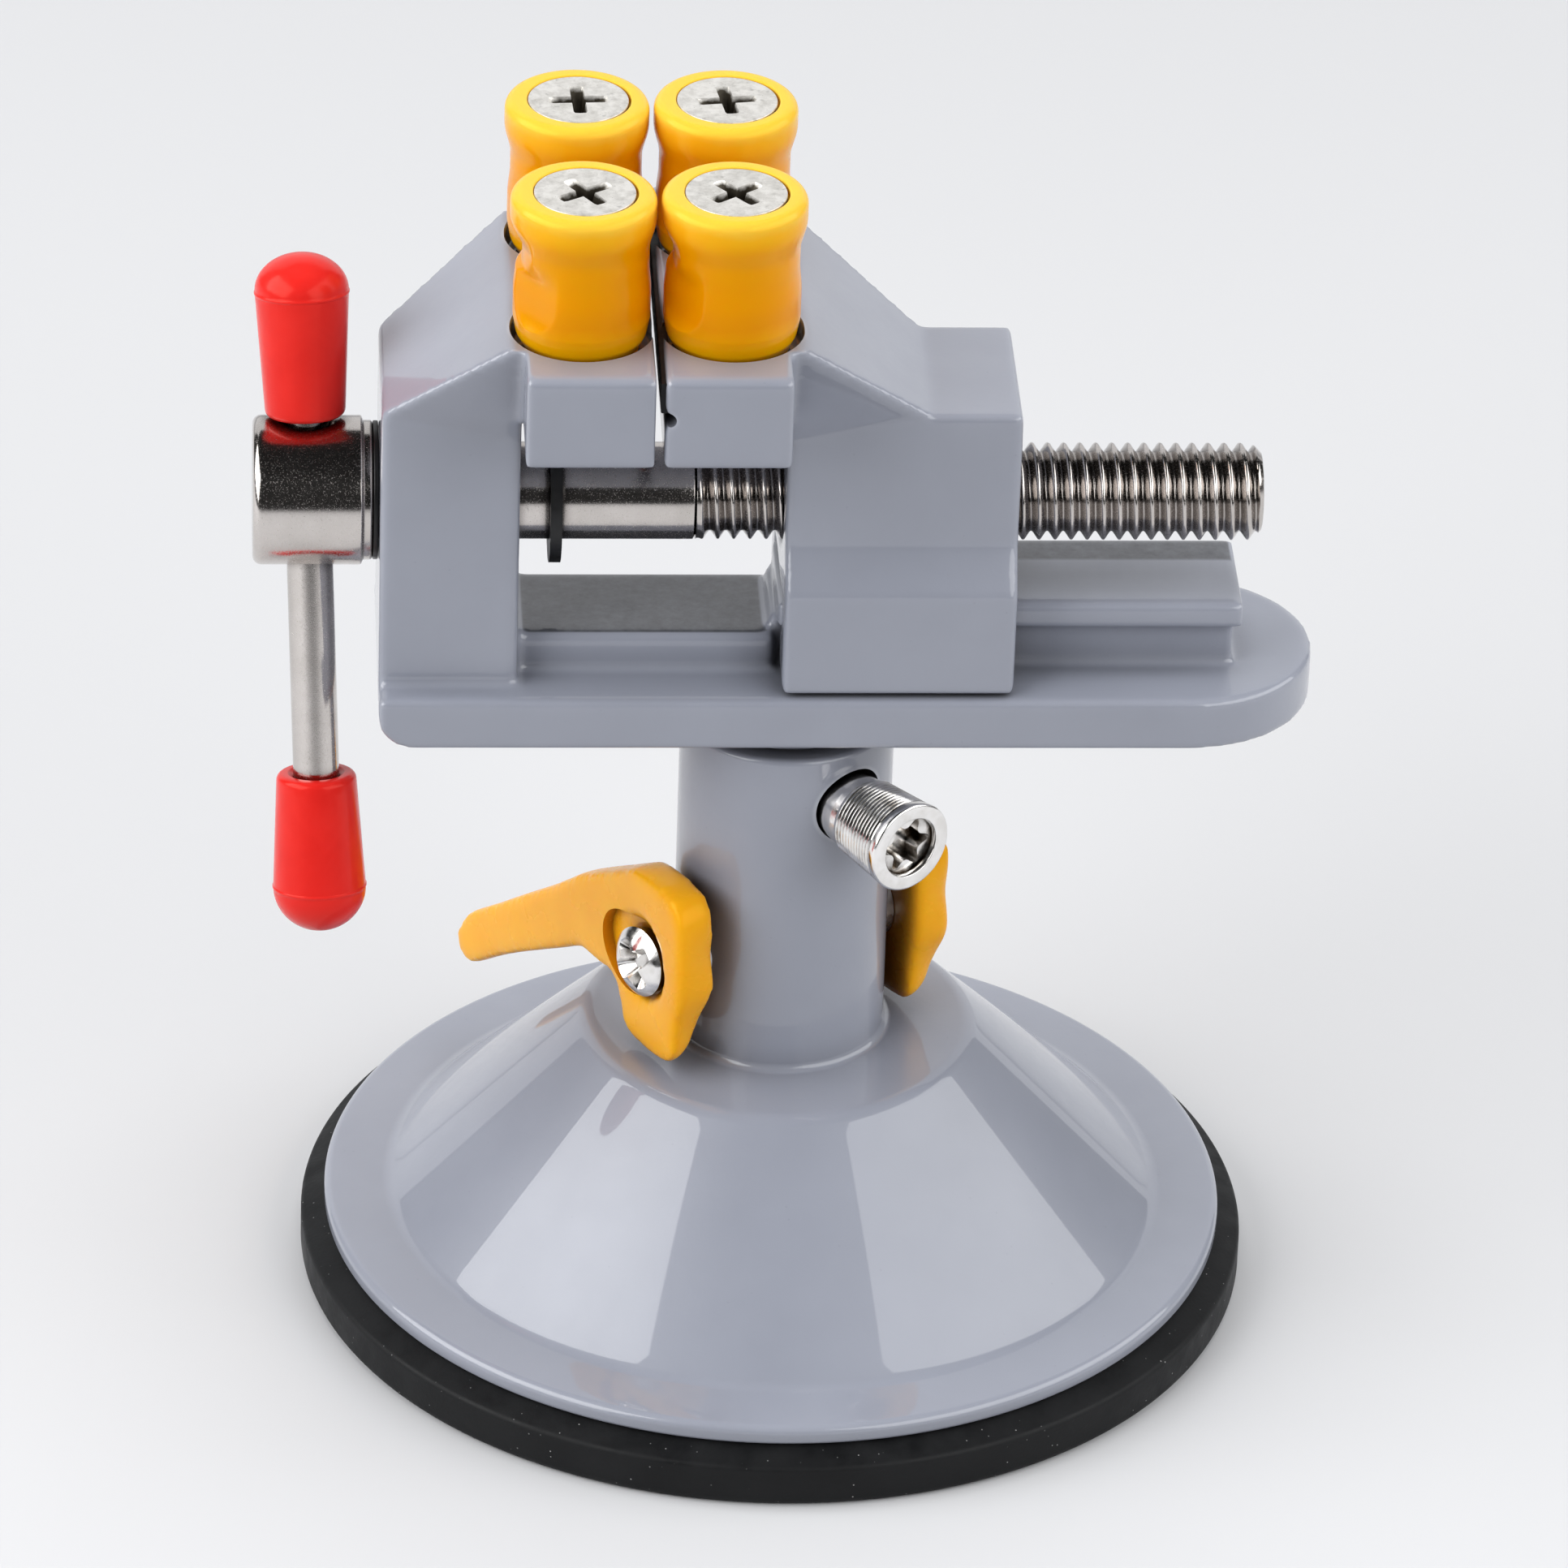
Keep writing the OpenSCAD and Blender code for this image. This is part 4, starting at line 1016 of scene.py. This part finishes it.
def grip_outline(dome):
    """Outline of a grip: bore, neck, body, seam and a dome of a height."""
    seam = GRIP_L - dome
    top_r, step = GRIP_R - GRIP_SKIN, 2 * GRIP_SKIN
    points = rounded([
        (0, BORE_DEEP, 0), (BAR_R + 0.02, BORE_DEEP, 0), (BAR_R + 0.02, 0.35, 0), (BAR_R + 0.55, 0, 0.2),
        (GRIP_NECK_R, 0, 0.75), (GRIP_R - 0.09, seam - 0.2, 0.1), (GRIP_R, seam - 0.08, 0.04),
        (GRIP_R, seam + 0.06, 0.04), (top_r, seam + step, 0)], 6)
    for k in range(1, DOME_STEPS + 1):
        angle = math.pi / 2 * k / DOME_STEPS
        radius = top_r * math.cos(angle) if k < DOME_STEPS else 0
        points.append(Vector((radius, seam + step + (dome - step) * math.sin(angle))))
    return spread(points, 1.0)


def make_handle():
    """Handle bar and its two red grips."""
    make_bar()
    over = Matrix.Rotation(math.pi, 4, "X")
    for name, node, dome, place in (
            ("upper_grip", "grip_top", UPPER_DOME, bar_place(GRIP_REST)),
            ("lower_grip", "grip_bottom", LOWER_DOME, bar_place(GRIP_LOW) @ over)):
        dress(place_piece(name, lathe(grip_outline(dome)), place), RED, "handle", "red_vinyl", node)


# Levers on the cam axle
AXLE_ANGLE = math.radians(63.5)
AXLE_FLOAT = 0.5
AXLE_HALF = 15.0
LEVER_VOXEL = 0.5
LEVER_ROUNDS = 26
LEVER_THIN = 0.3
RECESS_X = -2.2
RECESS_Y = -0.5
RECESS_LONG = 5.7
RECESS_HIGH = 4.5

# Draft of the lever's back rim, with three limits and their fades, and less of it at a corner
LEVER_DRAFT = 0.15
DRAFT_LEFT, LEFT_FADE = -7, 6
DRAFT_IN, IN_FADE = 5.2, 2
DRAFT_TOP, TOP_FADE = 8, 5
CORNER_ANGLE = math.radians(-5)
CORNER_WIDE = 0.4
CORNER_KEPT = 0.85

# Thin foot of the lever: how far below the axle it starts, and over what length
FOOT_TOP, FOOT_FADE = 1, 9

# Pulls on the lever's outline: x, y, reach, and how far to the right and up
LEVER_PULLS = (
    (6, 10.5, 6, 0.2, 1.3), (6.0, -10, 4.0, 0.6, 0.0), (1.5, -11, 3.5, -0.5, -0.9), (9, 1.0, 4.0, 0.4, 0.0),
    (-39, -23, 8, 0.0, -1.1), (-40, -15, 6, -0.2, 0.6), (-41.5, -17, 2.2, 1.0, -0.4),
    (-41, -20.3, 2.6, -0.9, -0.3), (-20, 0, 9, 0.0, -0.3))

# Domed screws of the levers, off the middle of their recesses and askew
DOME_R = 3.75
DOME_H = 1.5
DOME_SEAT = AXLE_HALF + 0.5
LEVER_CROSS = (3.9, 1.05, 1.9)
SCREW_OFF = (-2.2, -1.5, 1.3)
SCREW_LEAN = math.radians(9)
SCREW_TILT = math.radians(-5)
CROSS_STEPS = 96


def axle_place(side):
    """Place on the cam axle with its own Z pointing out of one lever."""
    turn = Matrix.Rotation(-AXLE_ANGLE, 4, "Z") @ TO_FRONT
    flip = Matrix.Rotation(0 if side > 0 else math.pi, 4, "X")
    return Matrix.Translation((0, 0, AXLE_Z)) @ turn @ Matrix.Translation((0, 0, AXLE_FLOAT)) @ flip


def cross_pit(arm, half, deep, top, turn, place):
    """Tapered cross recess with arms of a length and half width, cut down from the height top."""
    bm = bmesh.new()
    rings = []
    for height, reach, width in ((top - deep, 0.3, 0.45), (top - 0.45, 0.86, 0.95), (top + 0.3, 1.05, 1.15)):
        ring = []
        for k in range(CROSS_STEPS):
            angle = TAU * k / CROSS_STEPS
            off = abs((angle + math.pi / 4) % (math.pi / 2) - math.pi / 4)
            radius = min(arm * reach, half * width / max(1e-6, math.sin(off)))
            angle += turn
            ring.append(bm.verts.new((radius * math.cos(angle), radius * math.sin(angle), height)))
        rings.append(ring)
    bm.faces.new(rings[0][::-1])
    bm.faces.new(rings[-1])
    for low, high in zip(rings, rings[1:]):
        for k in range(CROSS_STEPS):
            n = (k + 1) % CROSS_STEPS
            bm.faces.new((low[k], low[n], high[n], high[k]))
    bm.transform(place)
    return bm


def draft_share(p):
    """How much of the draft a point of the lever gets."""
    hub = (smooth_step((p.x - DRAFT_LEFT) / LEFT_FADE)
           * smooth_step((math.hypot(p.x, p.y) - DRAFT_IN) / IN_FADE)
           * smooth_step((DRAFT_TOP - p.y) / TOP_FADE))
    corner = math.exp(-(angle_between(math.atan2(p.y, p.x), CORNER_ANGLE) / CORNER_WIDE) ** 2)
    return hub * (1 - CORNER_KEPT * corner)


def draw_in(piece, rest):
    """Thins a lever's foot from the back, draws its back rim in and pulls its outline into shape."""
    into = rest.inverted()
    points = [into @ (vertex.co / MM) for vertex in piece.data.vertices]
    front = max(p.z for p in points)
    back = min(p.z for p in points)
    for vertex, p in zip(piece.data.vertices, points):
        thin = 1 - LEVER_THIN * smooth_step((-p.y - FOOT_TOP) / FOOT_FADE)
        share = (front - p.z) / (front - back)
        inward = 1 - LEVER_DRAFT * share ** 2 * draft_share(p)
        spot = Vector((p.x * inward, p.y * inward, front - (front - p.z) * thin))
        for x, y, reach, right, up in LEVER_PULLS:
            pull = math.exp(-((p.x - x) ** 2 + (p.y - y) ** 2) / reach ** 2)
            spot += Vector((right, up, 0)) * pull
        vertex.co = (rest @ spot) * MM


def recess_tool(side):
    """Oval recess round a lever screw."""
    outline = []
    for k in range(96):
        angle = TAU * k / 96
        outline.append(Vector((
            RECESS_X + RECESS_LONG * math.cos(angle), side * RECESS_Y + RECESS_HIGH * math.sin(angle))))
    tool = prism(outline, 8.0, AXLE_HALF + 0.2)
    tool.transform(axle_place(side))
    return tool


def make_levers():
    """Both levers, as soft mouldings with a recess each."""
    for name, node, side in (("left_lever", "lever_left", 1), ("right_lever", "lever_right", -1)):
        piece = soft_copy(name, node, LEVER_VOXEL, LEVER_ROUNDS)
        draw_in(piece, axle_place(1))
        finer = piece.modifiers.new("finer", "SUBSURF")
        finer.levels = 1
        settle(piece)
        carve(piece, recess_tool(side))
        resharpen(piece, SHARP_CAST)
        dress(piece, ORANGE, "levers", "orange_plastic", node)


def make_lever_screws():
    """Domed screws with a cross recess in both levers."""
    steps = 12
    under = AXLE_HALF - 1.4
    ball = (DOME_R ** 2 + DOME_H ** 2) / (2 * DOME_H)
    points = plain((0, under), (DOME_R - 0.5, under), (DOME_R, DOME_SEAT - 0.2), (DOME_R, DOME_SEAT))
    for k in range(1, steps + 1):
        lift = DOME_H * math.sin(math.pi / 2 * k / steps)
        radius = math.sqrt(max(0.0, ball ** 2 - (lift + ball - DOME_H) ** 2))
        points.append(Vector((radius if k < steps else 0, DOME_SEAT + lift)))
    right, up, out = SCREW_OFF
    for name, side, turn in (("left_lever_screw", 1, 0.75), ("right_lever_screw", -1, 0.2)):
        seat = axle_place(side) @ Matrix.Translation((right, up * side, out))
        askew = seat @ Matrix.Rotation(SCREW_LEAN, 4, "Y") @ Matrix.Rotation(SCREW_TILT * side, 4, "X")
        piece = place_piece(name, lathe(points, 96), askew)
        carve(piece, cross_pit(*LEVER_CROSS, DOME_SEAT + DOME_H, turn, askew))
        resharpen(piece, SHARP_SCREW)
        dress(piece, CHROME, "levers", "chrome", "lever_screws")


# Clamp posts and their screws
POST_R = 7.35
POST_NECK_R = 6.7
POST_FOOT_R = 6.93
POST_BORE_R = 2.6
POST_SCREW_R = 5.1
POST_SHANK_R = 2.5
POST_SEAT = 0.16
POST_ROW = 0.35
POST_CROSS = (3.1, 0.66, 2.6)
OFF_CENTRE = 0.2
SHIFT_X = 0.1
SHIFT_Y = 0.15

# Finger dents of the posts: a broad one at the side and a round one towards the front
SIDE_AT = 180
SIDE_HALF = math.radians(38)
SIDE_DEEP = 0.65
FRONT_AT = 217
FRONT_DEEP = 0.8
DENT_R = 3.3
DENT_LOW = 10.2


def post_dent(angle, depth, turn):
    """How far the two finger dents of a post cut in, at a depth below its top."""
    side = angle_between(angle, math.radians(SIDE_AT + turn)) / SIDE_HALF
    along = smooth_step((depth - 2.4) / 3.2) * smooth_step((8.4 - depth) / 0.9)
    side_dent = SIDE_DEEP * max(0.0, 1 - side ** 2) ** 0.8 * along
    across = angle_between(angle, math.radians(FRONT_AT + turn)) * POST_NECK_R
    away = math.hypot(across, max(0.0, depth - DENT_LOW)) / DENT_R
    front_dent = FRONT_DEEP * max(0.0, 1 - away ** 2) * smooth_step((depth - 5.5) / 3.5)
    return max(side_dent, front_dent)


def post_mesh(foot, top, turn):
    """Waisted post between two heights, with its dents turned."""
    def dented(angle, height, radius):
        if radius < POST_SCREW_R + 0.6:
            return radius
        return radius - OFF_CENTRE * math.cos(angle) - post_dent(angle, top - height, turn)

    seat_r = POST_SCREW_R + POST_SEAT
    rows = [
        (POST_BORE_R, foot, 0), (5.6, foot, 0.5), (6.6, foot + 1.9, 1.5), (POST_FOOT_R, foot + 3.8, 2.5),
        (POST_FOOT_R, foot + 7, 9), (POST_NECK_R, foot + 9.2, 9), (POST_NECK_R, top - 5.4, 5),
        (POST_R, top - 3.0, 5), (POST_R, top, 1.1), (seat_r, top, 0.2), (seat_r, top - 0.8, 0),
        (POST_BORE_R, top - 3.5, 0)]
    return lathe(spread(rounded(rows, 10), POST_ROW), 192, dented)


def make_post_screw(node, carrier, foot, top, place, cross):
    """Countersunk screw of a post, with a cross recess."""
    rows = [
        (0, foot - 4, 0), (POST_SHANK_R, foot - 4, 0.3), (POST_SHANK_R, top - 3.3, 0),
        (POST_SCREW_R, top - 0.6, 0), (POST_SCREW_R, top, 0.06), (0, top, 0)]
    screw = place_piece(node + "_screw", lathe(spread(rounded(rows, 3), 1.0), 96), place)
    carve(screw, cross_pit(*POST_CROSS, top, math.radians(cross), place))
    resharpen(screw, SHARP_SCREW)
    screws = "post_screws_fixed" if carrier == "head" else "post_screws_moving"
    dress(screw, ZINC, carrier, "zinc", screws)


def make_posts():
    """Four clamp posts and their screws."""
    for node, body, carrier, turn, cross in POST_NODES:
        low, high = corners(node)
        centre = (low + high) / 2
        place = Matrix.Translation((centre.x + SHIFT_X, centre.y + SHIFT_Y, 0))
        piece = place_piece(node + "_body", post_mesh(low.z, high.z, turn), place)
        dress(piece, YELLOW, body, "yellow_plastic", node)
        place = Matrix.Translation((centre.x, centre.y, 0))
        make_post_screw(node, carrier, low.z, high.z, place, cross)


def dress_inner():
    """Materials of the CAD nodes that stay, mostly inside."""
    for node, material in (
            ("pad_boss", RUBBER), ("lift_disc", STEEL), ("pull_stem", STEEL), ("cam_axle", STEEL),
            ("swivel_spigot", STEEL)):
        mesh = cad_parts[node].data
        mesh.materials.clear()
        mesh.materials.append(material)


make_base()
make_pad()
make_castings()
make_gap_shade()
make_set_screw()
make_lead_screw()
make_clip()
make_washer()
make_handle()
make_levers()
make_lever_screws()
make_posts()
dress_inner()


# Floor, world and lights
WHITE = (0.83, 0.835, 0.85)
FLOOR_SHOWN = (0.63, 0.635, 0.65)
FLOOR_BOUNCE = (0.45, 0.45, 0.46)
FLOOR_SIZE = 3000
WORLD_LIGHT = 0.4
CLOTH = (0.06, 0.06, 0.06)
CANOPY_R = 1900
CANOPY_STEP = 6
OPEN_HALF = 42
OPEN_TOP = 48
AIM_Z = 60

# Softboxes: name, azimuth off the front, height angle, distance, width, height and radiance
SOFTBOXES = (
    ("left_softbox", -73, 31, 1000, 1250, 780, 4.2),
    ("right_softbox", 66, 31, 1000, 1800, 780, 2.7),
    ("top_softbox", 180, 76, 1200, 900, 900, 3.4))


def shown_ray(nodes, links):
    """1 for rays from the camera, from gloss and through glass, 0 for the rest."""
    path = nodes.new("ShaderNodeLightPath")
    value = path.outputs["Is Camera Ray"]
    for name in ("Is Glossy Ray", "Is Transmission Ray"):
        more = nodes.new("ShaderNodeMath")
        more.operation = "MAXIMUM"
        links.new(value, more.inputs[0])
        links.new(path.outputs[name], more.inputs[1])
        value = more.outputs[0]
    return value


def make_floor():
    """Pale floor that throws less light up than it shows."""
    bm = bmesh.new()
    bmesh.ops.create_grid(bm, x_segments=1, y_segments=1, size=FLOOR_SIZE)
    floor = place_piece("floor", bm)
    s = Shade("floor", FLOOR_SHOWN, 0.7, Specular_IOR_Level=0.2)
    s.color(s.mix(shown_ray(s.nodes, s.links), FLOOR_BOUNCE, FLOOR_SHOWN))
    floor.data.materials.append(s.material)
    floor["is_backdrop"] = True


def make_world():
    """Pale all round for the camera and for reflections, dimmer as a light."""
    world = bpy.data.worlds.new("studio")
    bpy.context.scene.world = world
    world.use_nodes = True
    nodes, links = world.node_tree.nodes, world.node_tree.links
    nodes.clear()
    seen = nodes.new("ShaderNodeBackground")
    seen.inputs["Color"].default_value = (*WHITE, 1)
    light = nodes.new("ShaderNodeBackground")
    light.inputs["Color"].default_value = (*WHITE, 1)
    light.inputs["Strength"].default_value = WORLD_LIGHT
    mix = nodes.new("ShaderNodeMixShader")
    links.new(shown_ray(nodes, links), mix.inputs[0])
    links.new(light.outputs[0], mix.inputs[1])
    links.new(seen.outputs[0], mix.inputs[2])
    out = nodes.new("ShaderNodeOutputWorld")
    links.new(mix.outputs[0], out.inputs[0])


def towards(azimuth, height):
    """Direction at an azimuth off the front and a height angle, in degrees."""
    azimuth, height = math.radians(azimuth), math.radians(height)
    level = math.cos(height)
    return Vector((math.sin(azimuth) * level, -math.cos(azimuth) * level, math.sin(height)))


def softbox(name, azimuth, height, distance, width, tall, radiance):
    """Rectangular lamp aimed at the vise."""
    away = towards(azimuth, height)
    data = bpy.data.lights.new(name, "AREA")
    data.shape = "RECTANGLE"
    data.size, data.size_y = width * MM, tall * MM
    data.energy = radiance * math.pi * data.size * data.size_y
    lamp = bpy.data.objects.new(name, data)
    bpy.context.scene.collection.objects.link(lamp)
    lamp.location = (Vector((0, 0, AIM_Z)) + away * distance) * MM
    lamp.rotation_euler = away.to_track_quat("Z", "Y").to_euler()
    lamp.visible_glossy = name != "top_softbox"


def make_canopy():
    """Dark cloth round and over the studio, behind the lamps, open at the back where the backdrop is."""
    bm = bmesh.new()
    rows = [[bm.verts.new(towards(turn, height) * CANOPY_R) for turn in range(-180, 180, CANOPY_STEP)]
            for height in range(0, 91, CANOPY_STEP)]
    count = len(rows[0])
    for i in range(len(rows) - 1):
        for k in range(count):
            behind = abs(-180 + (k + 0.5) * CANOPY_STEP) > 180 - OPEN_HALF
            if behind and (i + 0.5) * CANOPY_STEP < OPEN_TOP:
                continue
            n = (k + 1) % count
            bm.faces.new((rows[i][k], rows[i][n], rows[i + 1][n], rows[i + 1][k]))
    canopy = place_piece("canopy", bm)
    canopy.visible_camera = False
    s = Shade("dark_cloth", CLOTH, 0.9, Specular_IOR_Level=0.0)
    canopy.data.materials.append(s.material)
    canopy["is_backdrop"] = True


make_floor()
make_world()
make_canopy()
for row in SOFTBOXES:
    softbox(*row)

scene = bpy.context.scene
scene.view_settings.view_transform = "Standard"
bpy.context.view_layer.update()
boxes = [[list(corner) for corner in box] for box in (cad_box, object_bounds())]
"\n".join(json.dumps(box) for box in boxes) + "\n"
